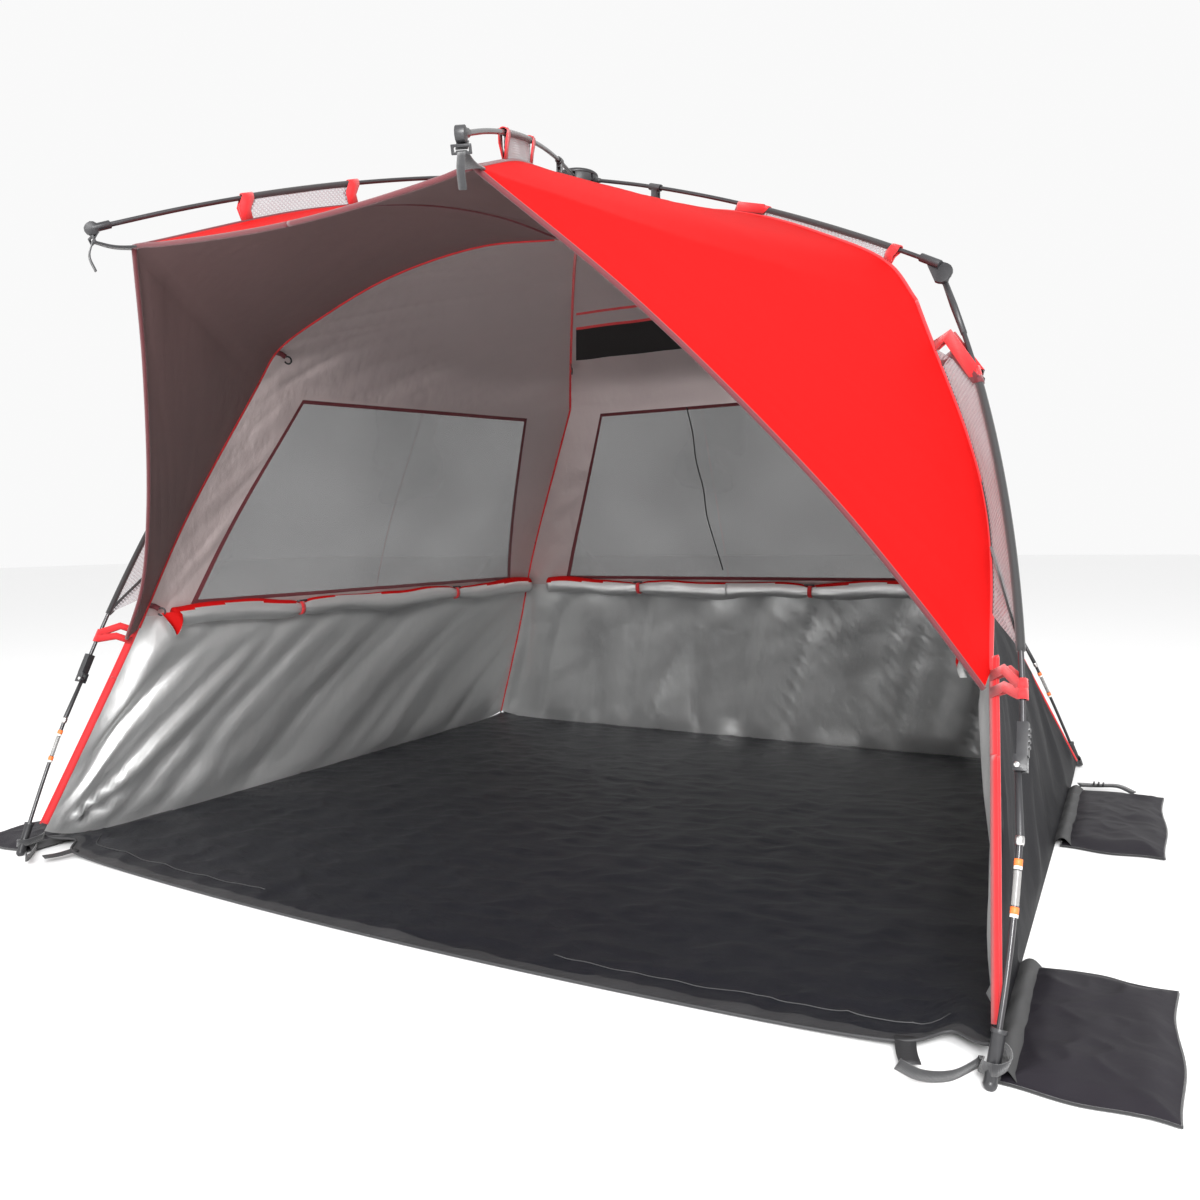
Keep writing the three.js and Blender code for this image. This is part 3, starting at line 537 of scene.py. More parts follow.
def field(points, size, seed, stretch=(1, 1, 1)):
    """Smooth noise from -1 to 1 over an array of points; size is the width of its patches."""
    scaled = points / size * np.asarray(stretch, float) + seed * 7.31
    flat = scaled.reshape(-1, 3)
    return np.array([noise.noise(p) for p in flat]).reshape(points.shape[:-1])


def smooth_step(x):
    x = np.clip(x, 0, 1)
    return x * x * (3 - 2 * x)


# ---------------------------------------------------------------- rigid pieces


FLAT_ANGLE = math.radians(1.0)  # facets that meet at less than this are merged
CORNER_ANGLE = math.radians(40)  # edges sharper than this are rounded
ROUND_ANGLE = math.radians(38)  # edges sharper than this are shaded as corners


def refined(node, look, width=0.0009):
    """A CAD node's shape with its edges rounded and its flats merged, standing for the node."""
    form = bmesh.new()
    form.from_mesh(frame["nodes"][node].data)
    bmesh.ops.remove_doubles(form, verts=form.verts, dist=WELD)
    bmesh.ops.dissolve_limit(form, angle_limit=FLAT_ANGLE, verts=form.verts, edges=form.edges)
    corners = [e for e in form.edges if len(e.link_faces) == 2 and e.calc_face_angle(0) > CORNER_ANGLE]
    bevel = {"offset": width, "offset_type": "OFFSET", "segments": 2, "profile": 0.5, "clamp_overlap": True}
    bmesh.ops.bevel(form, geom=corners, affect="EDGES", **bevel)
    bmesh.ops.triangulate(form, faces=[f for f in form.faces if len(f.verts) > 4])
    mesh = bpy.data.meshes.new(node + "_form")
    form.to_mesh(mesh)
    form.free()
    mesh.materials.clear()
    mesh.materials.append(LOOKS[look])
    mesh.polygons.foreach_set("material_index", [0] * len(mesh.polygons))
    mesh.polygons.foreach_set("use_smooth", [True] * len(mesh.polygons))
    mesh.set_sharp_from_angle(angle=ROUND_ANGLE)
    made = bpy.data.objects.new(node + "_form", mesh)
    bpy.context.scene.collection.objects.link(made)
    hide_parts(node)
    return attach(made, frame["nodes"][node]["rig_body"])


def rod_centres(node, start, end):
    """The centres of the rings of eight points that the CAD rod was cut into, from start to end."""
    heading = unit(end - start)
    points = np.array([v.co for v in frame["nodes"][node].data.vertices], float)
    points = np.unique(np.round(points, 5), axis=0)
    points = points[np.argsort(points @ heading)]
    gaps = np.where(np.diff(points @ heading) > 0.012)[0] + 1
    return [ring.mean(0) for ring in np.split(points, gaps) if len(ring) == 8]


def finish_piece(builder, name, body, slot, *nodes):
    """Makes the piece, which rides a body and stands for CAD nodes, if any. The slot is not used."""
    made = builder.make(name)
    if nodes:
        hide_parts(*nodes)
    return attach(made, body)


def add_eye(builder, centre, axis, radius, half):
    """A short cylinder about a hinge's axis, with its two edges chamfered."""
    chamfer = 0.001
    corner = [(radius, half - chamfer), (radius - chamfer, half), (0, half)]
    profile = [(r, -h) for r, h in reversed(corner)] + corner
    add_lathe(builder, profile, centre, axis, "rod", sides=28)


def add_rivet(builder, centre, axis, radius):
    """A low domed head that stands on a face."""
    dome = [(radius * math.cos(a), radius * 0.45 * math.sin(a)) for a in np.linspace(0, math.pi / 2, 6)]
    profile = [(0, -0.001), (radius, -0.001), *dome[:-1], (0, dome[-1][1])]
    add_lathe(builder, profile, centre, axis, "metal", sides=20)


RIB_NECK = 0.018  # from a rib's hinge to the start of its rod


def rib_rod(label, end_point):
    """A rib: the eye on the hub's wire, a neck, a ferrule and the long bowed rod. Returns the rod's path."""
    hinge = pivot(f"rib_hinge_{label}")
    axis = np.array(JOINTS[f"rib_hinge_{label}"]["axis"])
    centres = rod_centres(f"rib_{label}", hinge, end_point)
    whole = Path([hinge, *centres])
    root = RIB_NECK / whole.length
    made = Builder()
    add_tube(made, whole.part(root, 1, 100), ROD_RADIUS, "rod", sides=14)
    add_eye(made, hinge, axis, 0.007, 0.003)
    add_tube(made, whole.part(0, 1.5 * root, 4), 0.0029, "rod", sides=14)
    add_tube(made, whole.part(root, 2.2 * root, 5), 0.0060, "plastic", sides=20, scale=[0.8, 1, 1, 1, 0.85])
    finish_piece(made, f"rod_{label}", f"rib_{label}", "rod", f"rib_{label}")
    return Path(centres)


def leg_rods(label):
    """The upper and lower rods of a leg, with their fittings. Returns the two paths."""
    elbow, latch = pivot(f"elbow_{label}"), pivot(f"latch_{label}")
    axis = np.array(JOINTS[f"elbow_{label}"]["axis"])
    foot = middle(f"foot_{label}")
    upper = Path(rod_centres(f"leg_upper_{label}", elbow, latch))
    lower = Path(rod_centres(f"leg_lower_{label}", latch, foot))
    made = Builder()
    add_tube(made, upper.part(0, 1, 100), ROD_RADIUS, "rod", sides=14)
    add_eye(made, elbow, axis, 0.009, 0.0052)
    neck = np.array([elbow, elbow + (upper.at(0.03) - elbow) * 0.5, upper.at(0.03)])
    add_tube(made, neck, 0.0066, "plastic", sides=16, scale=[0.8, 1, 0.85])
    finish_piece(made, f"rod_upper_{label}", f"leg_upper_{label}", "rod", f"leg_upper_{label}")

    made = Builder()
    add_tube(made, lower.part(0, 1, 70), ROD_RADIUS, "rod", sides=14)
    add_eye(made, latch, axis, 0.0055, 0.0055)
    head = np.array([latch, lower.at(0.0), lower.at(0.035)])
    add_tube(made, head, 0.0058, "plastic", sides=16, scale=[0.8, 1, 1])
    add_tube(made, lower.part(0.0, 0.045, 5), 0.0066, "metal", sides=24, scale=[0.85, 1, 1, 1, 0.85])
    finish_piece(made, f"rod_lower_{label}", f"leg_lower_{label}", "rod", f"leg_lower_{label}")
    leg_bands(label, lower)
    return upper, lower


def leg_bands(label, lower):
    """Two coloured bands on a lower leg, with a clear sleeve shrunk over the rod between them."""
    made = Builder()
    for start in (0.105, 0.315):
        add_tube(made, lower.part(start, start + 0.030, 4), ROD_RADIUS + 0.0016, "orange", sides=20)
        add_tube(made, lower.part(start + 0.031, start + 0.045, 4), ROD_RADIUS + 0.0014, "white", sides=20)
    add_tube(made, lower.part(0.155, 0.31, 24), ROD_RADIUS + 0.0010, "clear", sides=20)
    finish_piece(made, f"leg_bands_{label}", f"leg_lower_{label}", "black_plastic")


def hub_pieces():
    """The hub: its dome is turned smooth, and the slotted discs keep their shape."""
    low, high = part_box("hub_cap")
    radius, base, top = (high[0] - low[0]) / 2, low[2] - HUB[2], high[2] - HUB[2]
    shoulder = base + 0.004
    angles = np.linspace(0, 0.46 * math.pi, 14)
    dome = [(radius * math.cos(a), shoulder + (top - shoulder) * math.sin(a)) for a in angles]
    groove = [(r, h - (0.0012 if 5 <= k <= 6 else 0)) for k, (r, h) in enumerate(dome)]
    made = Builder()
    profile = [(0, base), (radius - 0.001, base), (radius, base + 0.001), *groove, (0, top)]
    add_lathe(made, profile, HUB, UP, "plastic", sides=72)
    low_edge, rim, crown = top - 0.004, top - 0.0015, top - 0.0002
    button = [(0, low_edge), (0.011, low_edge), (0.011, rim), (0.009, crown), (0, crown)]
    add_lathe(made, button, HUB, UP, "grey_plastic", sides=32)
    finish_piece(made, "hub_dome", "hub", "black_plastic", "hub_cap")
    for node in ("hub_body", "runner"):
        refined(node, "plastic", 0.0012)
    refined("hub_wire", "metal", 0.0001)


def elbow_rivets(label, upper):
    """Three rivet heads on the inner face of an elbow."""
    axis = np.array(JOINTS[f"elbow_{label}"]["axis"])
    elbow = pivot(f"elbow_{label}")
    down = unit(upper.at(0.1) - elbow)
    face = elbow - axis * 0.0121
    made = Builder()
    add_rivet(made, face, -axis, 0.0045)
    add_rivet(made, face - down * 0.014, -axis, 0.0032)
    add_rivet(made, face + down * 0.011, -axis, 0.0026)
    finish_piece(made, f"elbow_rivets_{label}", f"rib_{label}", "steel_wire")


def latch_rivets(label):
    """A rivet head on each face of a latch."""
    axis = np.array(JOINTS[f"latch_{label}"]["axis"])
    centre = pivot(f"latch_{label}")
    made = Builder()
    for way in (1, -1):
        add_rivet(made, centre + axis * way * 0.0101, axis * way, 0.0048)
    finish_piece(made, f"latch_rivets_{label}", f"leg_upper_{label}", "steel_wire")


hub_pieces()
LABELS = [f"{leg}_{side}" for leg in ("front", "rear") for side in SIDES]
RIBS, UPPER_LEGS, LOWER_LEGS = {}, {}, {}
for label in LABELS:
    RIBS[label] = rib_rod(label, pivot(f"elbow_{label}"))
    UPPER_LEGS[label], LOWER_LEGS[label] = leg_rods(label)
    elbow_rivets(label, UPPER_LEGS[label])
    latch_rivets(label)
    for part in ("elbow", "latch", "foot", "collar", "strut"):
        refined(f"{part}_{label}", "plastic")
for side in SIDES:
    RIBS[f"awning_{side}"] = rib_rod(f"awning_{side}", middle(f"tip_cap_{side}"))
    refined(f"tip_cap_{side}", "plastic", 0.0012)
    for part in ("buckle_", "collar_awning_", "strut_awning_"):
        refined(part + side, "plastic")

# ---------------------------------------------------------------- the cloth's surfaces


class Surface:
    """A sheet of cloth over an (n, m, 3) grid of points, with its two faces and its UVs in metres."""

    def __init__(self, points, relief=None, thickness=FABRIC):
        normals = grid_normals(points)
        outward = (normals * (points - TENT_MIDDLE)).sum()
        self.flip = 1 if outward > 0 else -1
        plain = normals * self.flip
        if relief is not None:
            points = points + plain * relief[..., None]
        self.points = points
        self.normals = grid_normals(points) * self.flip
        self.outer = points + plain * thickness / 2
        self.inner = points - plain * thickness / 2
        down = np.linalg.norm(np.diff(points, axis=0), axis=-1).mean(1)
        across = np.linalg.norm(np.diff(points, axis=1), axis=-1)
        across = np.concatenate((np.zeros((len(points), 1)), np.cumsum(across, axis=1)), axis=1)
        across -= across[:, -1:] / 2
        down = np.concatenate(([0], np.cumsum(down)))
        self.uv = np.stack(np.broadcast_arrays(across, down[:, None]), axis=-1)

    def on_side(self, side):
        """This surface, or its mirror image for the left side."""
        if side == "right":
            return self
        other = copy.copy(self)
        for name in ("points", "normals", "outer", "inner"):
            setattr(other, name, getattr(self, name) * (-1, 1, 1))
        other.flip = -self.flip
        return other

    def add_to(self, builder, rows, columns, look_at):
        """Adds the part between two rows and two columns. look_at(i, j) names the outer and inner look."""
        part = (slice(rows[0], rows[1] + 1), slice(columns[0], columns[1] + 1))
        outer, inner, uv, normals = (grid[part] for grid in (self.outer, self.inner, self.uv, self.normals))
        n, m = outer.shape[:2]
        faces, looks = [], []

        def add(face, look):
            faces.append(face if self.flip > 0 else face[::-1])
            looks.append(look)

        for i in range(n - 1):
            for j in range(m - 1):
                a = i * m + j
                outside, inside = look_at(rows[0] + i, columns[0] + j)
                for triangle in ((a, a + m, a + m + 1), (a, a + m + 1, a + 1)):
                    add(triangle, outside)
                    add(tuple(k + n * m for k in triangle[::-1]), inside)
        rim = [i * m for i in range(n - 1)]
        rim += [(n - 1) * m + j for j in range(m - 1)]
        rim += [i * m + m - 1 for i in range(n - 1, 0, -1)]
        rim += list(range(m - 1, 0, -1))
        edge_look = look_at(rows[0], columns[0])[0]
        for a, b in zip(rim, rim[1:] + rim[:1]):
            add((b, a, a + n * m, b + n * m), edge_look)
        points = np.concatenate([outer.reshape(-1, 3), inner.reshape(-1, 3)])
        both = np.concatenate([normals.reshape(-1, 3), -normals.reshape(-1, 3)])
        builder.add(points, faces, looks, np.concatenate([uv.reshape(-1, 2)] * 2), both)


def rail(rib, leg, leg_end=1.0):
    """A panel's edge: the rib's seam up to its half way point, and the leg's seam from there on."""

    def at(u):
        return np.where((u < 0.5)[..., None], rib.at(2 * u), leg.at((2 * u - 1) * leg_end))

    return at


KNEE = FRONT_LEG.share_at_height(KNEE_HEIGHT)
front_rail = rail(FRONT_RIB, FRONT_LEG)
rear_rail = rail(REAR_RIB, REAR_LEG)
awning_inner_rail = rail(FRONT_RIB, FRONT_LEG, KNEE)
awning_outer_rail = rail(AWNING_RIB, AWNING_SIDE)


def folds(across, down, pitch, turn, seed):
    """Long creases that run at an angle to the cloth: crests about pitch apart, eight times as long."""
    s = (across * math.cos(turn) + down * math.sin(turn)) / pitch
    t = (down * math.cos(turn) - across * math.sin(turn)) / pitch / 7
    where = np.stack([s, t, np.full_like(s, seed * 3.7)], axis=-1)
    swell = field(where, 1.0, seed)
    return 0.75 * swell + 0.6 * (1 - np.abs(field(where * (1.5, 1.2, 1), 1.0, seed + 5))) ** 3 - 0.35


def fan(across, down, corner, spread, seed):
    """Creases that fan out from a corner that the cloth is pulled towards."""
    da, dd = across - corner[0], down - corner[1]
    reach = np.hypot(da, dd)
    angle = np.arctan2(dd, da)
    where = np.stack([angle / spread, reach * 1.6, np.full_like(reach, seed * 2.3)], axis=-1)
    return field(where, 1.0, seed) * np.exp(-reach / 0.55) * smooth_step(reach / 0.12)


def seam_fade(distance, width=0.06):
    """0 on a seam, and 1 from the given width away from it."""
    return smooth_step(np.abs(distance) / width)


# ---------------------------------------------------------------- walls

TAPE = 0.0085  # share of a wall's width that a window's binding takes
TAPE_ROW = 0.0046  # the same, as a share of the wall's rails
COLUMN_MARKS = (0.14, 0.86)  # columns where a window's two sides stand
SIDE_WINDOW = {"top": 0.517, "bottom": 0.766, "sides": ((0.156, 0.868), (0.068, 0.920))}
REAR_WINDOW = {"top": 0.509, "bottom": 0.766, "sides": ((0.128, 0.872), (0.104, 0.896))}
CLOTH_CHANGE = 0.776  # row where the red cloth meets the black cloth, behind the rolled flaps
SEAMS = {"front": (FRONT_RIB, FRONT_LEG), "rear": (REAR_RIB, REAR_LEG)}
LATCH_SHARES = {leg: SEAMS[leg][1].share_at_height(pivot(f"latch_{leg}_right")[2]) for leg in SEAMS}
LATCH_ROWS = {leg: 0.5 + 0.5 * share for leg, share in LATCH_SHARES.items()}
VENT = {"upper_tape": (0.258, 0.265), "lower_tape": (0.298, 0.305), "net": (0.305, 0.388)}


def lines_between(marks, step):
    """Grid lines through all the marks, no further apart than step."""
    parts = [np.linspace(a, b, max(1, math.ceil((b - a) / step)) + 1)[:-1] for a, b in zip(marks, marks[1:])]
    return np.concatenate([*parts, [marks[-1]]])


def wall_lines(window, extra_rows=()):
    """A wall's grid: its rows as shares of the rails, and its columns as shares across."""
    rows = {0, 0.5, window["top"], window["top"] + TAPE_ROW, window["bottom"] - TAPE_ROW, window["bottom"]}
    rows |= {CLOTH_CHANGE, *LATCH_ROWS.values(), 1, *extra_rows}
    a, b = COLUMN_MARKS
    columns = lines_between((0, a, a + TAPE, 0.5, b - TAPE, b, 1), 0.0095)
    return lines_between(sorted(rows), 0.0105), columns


def window_sides(window, u):
    """Where the window's two slanted sides stand at each row, as shares across the wall."""
    top, bottom = window["sides"]
    lower = np.clip((u - window["top"]) / (window["bottom"] - window["top"]), 0, 1)
    return [top[k] + (bottom[k] - top[k]) * lower for k in (0, 1)]


def window_columns(window, u, columns):
    """The share across the wall at each row and column, so that two columns follow the window's sides."""
    near, far = window_sides(window, u)
    a, b = COLUMN_MARKS
    v = np.broadcast_to(columns, u.shape)
    inside = near + (far - near) * (v - a) / (b - a)
    return np.where(v < a, v / a * near, np.where(v > b, 1 - (1 - v) / (1 - b) * (1 - far), inside))


def wall_surface(rail_a, rail_b, window, rows, columns, relief_of):
    """The cloth between two rails. Its foot hangs to the ground between the corners."""
    u = np.repeat(rows[:, None], len(columns), axis=1)
    v = window_columns(window, u, columns)
    a, b = rail_a(u), rail_b(u)
    points = a + (b - a) * v[..., None]
    sag = (points[-1:, :, 2] - 0.003) * (1 - np.abs(2 * v - 1) ** 12)
    points[..., 2] -= sag * smooth_step((u - 0.90) / 0.10)
    width = np.linalg.norm(b - a, axis=-1)
    across = (v - 0.5) * width
    down = (u - 0.5) * 2.3
    edge = seam_fade(np.minimum(v, 1 - v) * width)
    relief = relief_of(u, v, across, down, width) * edge
    puckers = field(np.stack([down * 0, down, across * 0.2], axis=-1), 0.022, 3)
    relief += 0.0016 * puckers * np.exp(-np.minimum(v, 1 - v) * width / 0.025) * smooth_step(u / 0.1)
    return Surface(points, relief)


def window_calm(window, u, v):
    """1 on the cloth and 0 inside the window, which the net keeps flat."""
    near, far = window_sides(window, u)
    below_top = smooth_step((u - window["top"] + 0.02) / 0.03)
    inside_rows = below_top * smooth_step((window["bottom"] - u + 0.01) / 0.03)
    inside = smooth_step((v - near + 0.015) / 0.03) * smooth_step((far - v + 0.015) / 0.03)
    return 1 - 0.93 * inside_rows * inside


def side_relief(u, v, across, down, width):
    """Creases of a side wall: slanting folds, and a fan from the front corner."""
    calm = window_calm(SIDE_WINDOW, u, v)
    on_roof = smooth_step((0.56 - u) / 0.1) * smooth_step(u / 0.2)
    roof = 0.0075 * folds(across, down, 0.10, -0.95, 2) * on_roof
    strips = 0.004 * folds(across, down, 0.06, -0.75, 4) * smooth_step((u - 0.5) / 0.06)
    lower = 0.027 * folds(across, down, 0.18, -0.85, 6) * smooth_step((u - 0.77) / 0.05)
    foot = 0.026 * fan(across, down, (width.max() / 2, 1.15), 0.13, 8) * smooth_step((u - 0.7) / 0.1)
    hem = seam_fade((1 - u) * 1.3, 0.03)
    return (roof + strips + lower) * calm * hem + foot * hem * calm


def rear_relief(u, v, across, down, width):
    """Creases of the rear wall: nearly upright folds below the window."""
    calm = window_calm(REAR_WINDOW, u, v)
    on_roof = smooth_step(u / 0.2) * smooth_step((0.56 - u) / 0.1)
    roof = 0.003 * folds(across, down, 0.12, 0.2, 12) * on_roof
    strips = 0.004 * folds(across, down, 0.06, 1.2, 14) * smooth_step((u - 0.5) / 0.06)
    lower = 0.034 * folds(across, down, 0.15, 0.30, 16) * smooth_step((u - 0.77) / 0.05)
    hem = seam_fade((1 - u) * 1.3, 0.03)
    return (roof + strips + lower) * calm * hem


def wall_looks(window, rows, columns, vent=None):
    """Names the looks of each cell of a wall, outside and inside."""
    mid_rows, mid_columns = (rows[1:] + rows[:-1]) / 2, (columns[1:] + columns[:-1]) / 2
    a, b = COLUMN_MARKS

    def look_at(i, j):
        u, v = mid_rows[i], mid_columns[j]
        if vent and 0.03 < v < 0.97:
            if vent["net"][0] < u < vent["net"][1]:
                return "vent", "vent"
            if any(vent[tape][0] < u < vent[tape][1] for tape in ("upper_tape", "lower_tape")):
                return "red_tape", "red_tape"
        if window["top"] < u < window["bottom"] and a < v < b:
            on_side = v < a + TAPE or v > b - TAPE
            on_end = u < window["top"] + TAPE_ROW or u > window["bottom"] - TAPE_ROW
            if on_side or on_end:
                return "black_tape", "dark_tape"
            return "window", "window"
        if u > CLOTH_CHANGE:
            return "black", "silver"
        return "red", "mauve"

    return look_at


def two_faced(outside, inside):
    """Names the same two looks for every cell of a sheet."""
    return lambda i, j: (outside, inside)


def cloth_piece(builder, name, body, slot, across, anchor, *nodes, keep=0.06):
    """Finishes a soft piece: it rides one body and gets a mesh of its own."""
    made = finish_piece(builder, name, body, slot, *nodes)
    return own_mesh(made)


def square_to(direction, chord):
    """The part of a direction that is square to a chord."""
    chord = unit(chord)
    return unit(direction - chord * (direction @ chord))


def tangent_of_rib(label):
    """The level direction square to a rib."""
    return np.cross(UP, rib_direction(f"rib_hinge_{label}"))


def row_index(rows, value):
    """The grid line nearest to a share."""
    return int(np.abs(rows - value).argmin())


def closing_line(path, start, end, towards, side):
    """Where a panel that hangs on a leg closes up to: the direction square to the leg, and a point on it."""
    low, high = mirrored(path.at(start), side), mirrored(path.at(end), side)
    return square_to(mirrored(towards, side) - low, high - low), low


def add_piping(builder, path, start, end, side, look, radius=0.0046):
    line = mirrored(path.part(start, end, 60), side)
    add_tube(builder, line, radius, look, sides=8)


def wall_tiers(name, surface, rows, columns, look_at, leg, side, towards, nodes=()):
    """Cuts half a wall at the elbow and the latch, so that each tier folds with its own rod of its leg."""
    label = f"{leg}_{side}"
    rib_seam, leg_seam = SEAMS[leg]
    share = LATCH_SHARES[leg]
    cuts = [row_index(rows, mark) for mark in (0, 0.5, LATCH_ROWS[leg], 1)]
    seams = ((rib_seam, 0, 1), (leg_seam, 0, share), (leg_seam, share, 1))
    bodies = (f"rib_{label}", f"leg_upper_{label}", f"leg_lower_{label}")
    for tier, body, start, end, seam in zip(("roof", "upper", "lower"), bodies, cuts, cuts[1:], seams):
        made = Builder()
        surface.add_to(made, (start, end), columns, look_at)
        if name == "wall_side_rear":
            add_piping(made, *seam, side, "red_tape")
        if tier == "roof":
            across, anchor = tangent_of_rib(label), HUB
        else:
            across, anchor = closing_line(*seam, towards, side)
        stands_for = nodes if tier == "upper" else ()
        cloth_piece(made, f"{name}_{tier}_{side}", body, "silver_fabric", across, anchor, *stands_for)


def side_walls():
    """Each side wall is cut down its middle. The halves fold with the rear leg and the front leg."""
    rows, columns = wall_lines(SIDE_WINDOW)
    look_at = wall_looks(SIDE_WINDOW, rows, columns)
    right = wall_surface(rear_rail, front_rail, SIDE_WINDOW, rows, columns, side_relief)
    centre, last = row_index(columns, 0.5), len(columns) - 1
    rear_middle, front_middle = REAR_LEG.at(0.5), FRONT_LEG.at(0.5)
    for side in SIDES:
        wall = (right.on_side(side), rows)
        nodes = (f"wall_{side}",)
        wall_tiers("wall_side_rear", *wall, (0, centre), look_at, "rear", side, front_middle, nodes)
        wall_tiers("wall_side_front", *wall, (centre, last), look_at, "front", side, rear_middle)
    return right, rows, columns


def rear_wall():
    """The rear wall in two halves, which fold with the two rear legs."""
    rows, columns = wall_lines(REAR_WINDOW, [mark for pair in VENT.values() for mark in pair])
    look_at = wall_looks(REAR_WINDOW, rows, columns, VENT)

    def left_rail(u):
        return mirrored(rear_rail(u), "left")

    surface = wall_surface(left_rail, rear_rail, REAR_WINDOW, rows, columns, rear_relief)
    centre = row_index(columns, 0.5)
    spans = {"left": (0, centre), "right": (centre, len(columns) - 1)}
    towards = REAR_LEG.at(0.5) * (-1, 1, 1)
    for side, span in spans.items():
        nodes = ("wall_rear",) if side == "right" else ()
        wall_tiers("wall_rear", surface, rows, span, look_at, "rear", side, towards, nodes)
    window_seam(surface, rows, columns, towards)
    return surface, rows, columns


def window_seam(surface, rows, columns, towards):
    """A thin dark seam that runs down the rear window, a little left of its middle."""
    top, bottom = row_index(rows, REAR_WINDOW["top"]), row_index(rows, REAR_WINDOW["bottom"])
    first, last = row_index(columns, 0.455), row_index(columns, 0.49)
    places = np.round(np.linspace(first, last, bottom - top + 1)).astype(int)
    line = surface.inner[np.arange(top, bottom + 1), places]
    made = Builder()
    add_tube(made, Path(line[::4]).part(0, 1, 40), 0.0022, "black_tape", sides=6)
    across, anchor = closing_line(REAR_LEG, 0, 0.6, towards, "left")
    cloth_piece(made, "window_seam", "leg_upper_rear_left", "black_fabric", across, anchor)


# ---------------------------------------------------------------- awning


def plain_columns(rail_a, rail_b, rows, columns, relief_of):
    u = np.repeat(rows[:, None], len(columns), axis=1)
    v = np.broadcast_to(columns, u.shape)
    a, b = rail_a(u), rail_b(u)
    width = np.linalg.norm(b - a, axis=-1)
    points = a + (b - a) * v[..., None]
    edge = seam_fade(np.minimum(v, 1 - v) * width)
    return Surface(points, relief_of(u, v, (v - 0.5) * width, (u - 0.5) * 2.2) * edge)


def awning_side_relief(u, v, across, down):
    swell = 0.012 * np.sin(math.pi * v) * np.sin(math.pi * np.clip(u, 0, 1))
    creases = 0.0022 * folds(across, down, 0.16, 0.5, 22) * smooth_step(u / 0.3)
    return -swell + creases


def awning_front_relief(u, v, across, down):
    sag = 0.020 * np.sin(math.pi * v) * smooth_step(u / 0.3)
    creases = 0.0022 * folds(across, down, 0.18, 1.35, 24) * smooth_step(u / 0.3)
    return -sag + creases * np.abs(2 * v - 1)


def awning_sides():
    """The awning's two sides, each cut at the elbow."""
    rows = lines_between((0, 0.5, 1), 0.0115)
    columns = lines_between((0, 1), 0.012)
    right = plain_columns(awning_inner_rail, awning_outer_rail, rows, columns, awning_side_relief)
    half, end, span = row_index(rows, 0.5), len(rows) - 1, (0, len(columns) - 1)
    look_at = two_faced("red", "lining")
    for side in SIDES:
        label = f"front_{side}"
        surface = right.on_side(side)
        top = Builder()
        surface.add_to(top, (0, half), span, look_at)
        add_piping(top, FRONT_RIB, 0, 1, side, "red_tape")
        across = tangent_of_rib(label)
        name, node = f"awning_side_top_{side}", f"awning_{side}"
        cloth_piece(top, name, f"rib_{label}", "red_fabric", across, HUB, node)
        low = Builder()
        surface.add_to(low, (half, end), span, look_at)
        add_piping(low, FRONT_LEG, 0, KNEE, side, "red_tape")
        add_piping(low, AWNING_SIDE, 0, 1, side, "dark_tape", 0.0048)
        across, anchor = closing_line(FRONT_LEG, 0, KNEE, AWNING_RIB.at(1.0), side)
        cloth_piece(low, f"awning_side_low_{side}", f"leg_upper_{label}", "red_fabric", across, anchor)


def awning_front():
    """The awning's front panel, cut down its middle."""
    rows = lines_between((0, 1), 0.022)
    columns = lines_between((0, 0.5, 1), 0.012)

    def left_rail(u):
        return mirrored(AWNING_RIB.at(u), "left")

    surface = plain_columns(left_rail, AWNING_RIB.at, rows, columns, awning_front_relief)
    centre, last = row_index(columns, 0.5), len(columns) - 1
    look_at = two_faced("red", "lining")
    for side, span in (("left", (0, centre)), ("right", (centre, last))):
        made = Builder()
        surface.add_to(made, (0, len(rows) - 1), span, look_at)
        edge = surface.points[-1, span[0] : span[1] + 1]
        add_tube(made, edge, 0.0048, "dark_tape", sides=8)
        add_piping(made, AWNING_RIB, 0, 1, side, "dark_tape", 0.0042)
        label = f"awning_{side}"
        across = tangent_of_rib(label)
        nodes = ("awning_front",) if side == "right" else ()
        cloth_piece(made, f"awning_front_{side}", f"rib_{label}", "red_fabric", across, HUB, *nodes)


def front_bands():
    """A folded red band runs down each front leg's seam from the awning's knee to the floor."""
    latch = LATCH_SHARES["front"]
    for side in SIDES:
        outward = np.array((0.75 * SIDES[side], -0.65, 0.0))
        for name, start, end in (("upper", KNEE - 0.02, latch), ("lower", latch, 0.985)):
            made = Builder()
            line = mirrored(FRONT_LEG.part(start, end, 40), side)
            add_ribbon(made, line + outward * 0.008, 0.018, outward, "red_tape", 0.0024)
            add_tube(made, line + outward * 0.017, 0.0022, "red_tape", sides=8)
            finish_piece(made, f"front_band_{name}_{side}", f"leg_{name}_front_{side}", "red_fabric")


# ---------------------------------------------------------------- webs, loops and straps


def loop_strap(builder, rod_point, rod_way, seam_point, look="red_tape", width=0.019):
    """A strap sewn to the seam that goes round a rod and back."""
    reach = rod_point - seam_point
    reach = reach - rod_way * (reach @ rod_way)
    outward = unit(reach)
    side = np.cross(rod_way, outward)
    turn = 0.0078
    angles = np.linspace(0, math.pi, 11)
    around = [rod_point + turn * (outward * math.sin(a) + side * math.cos(a)) for a in angles]
    foot = seam_point + outward * 0.002
    near = [foot + side * 0.0015, foot + reach * 0.5 + side * turn * 0.7]
    back = [foot + reach * 0.5 - side * turn * 0.7, foot - side * 0.0015]
    path = np.array([*near, *around, *back])
    add_ribbon(builder, path, width, rod_way, look, 0.0016)


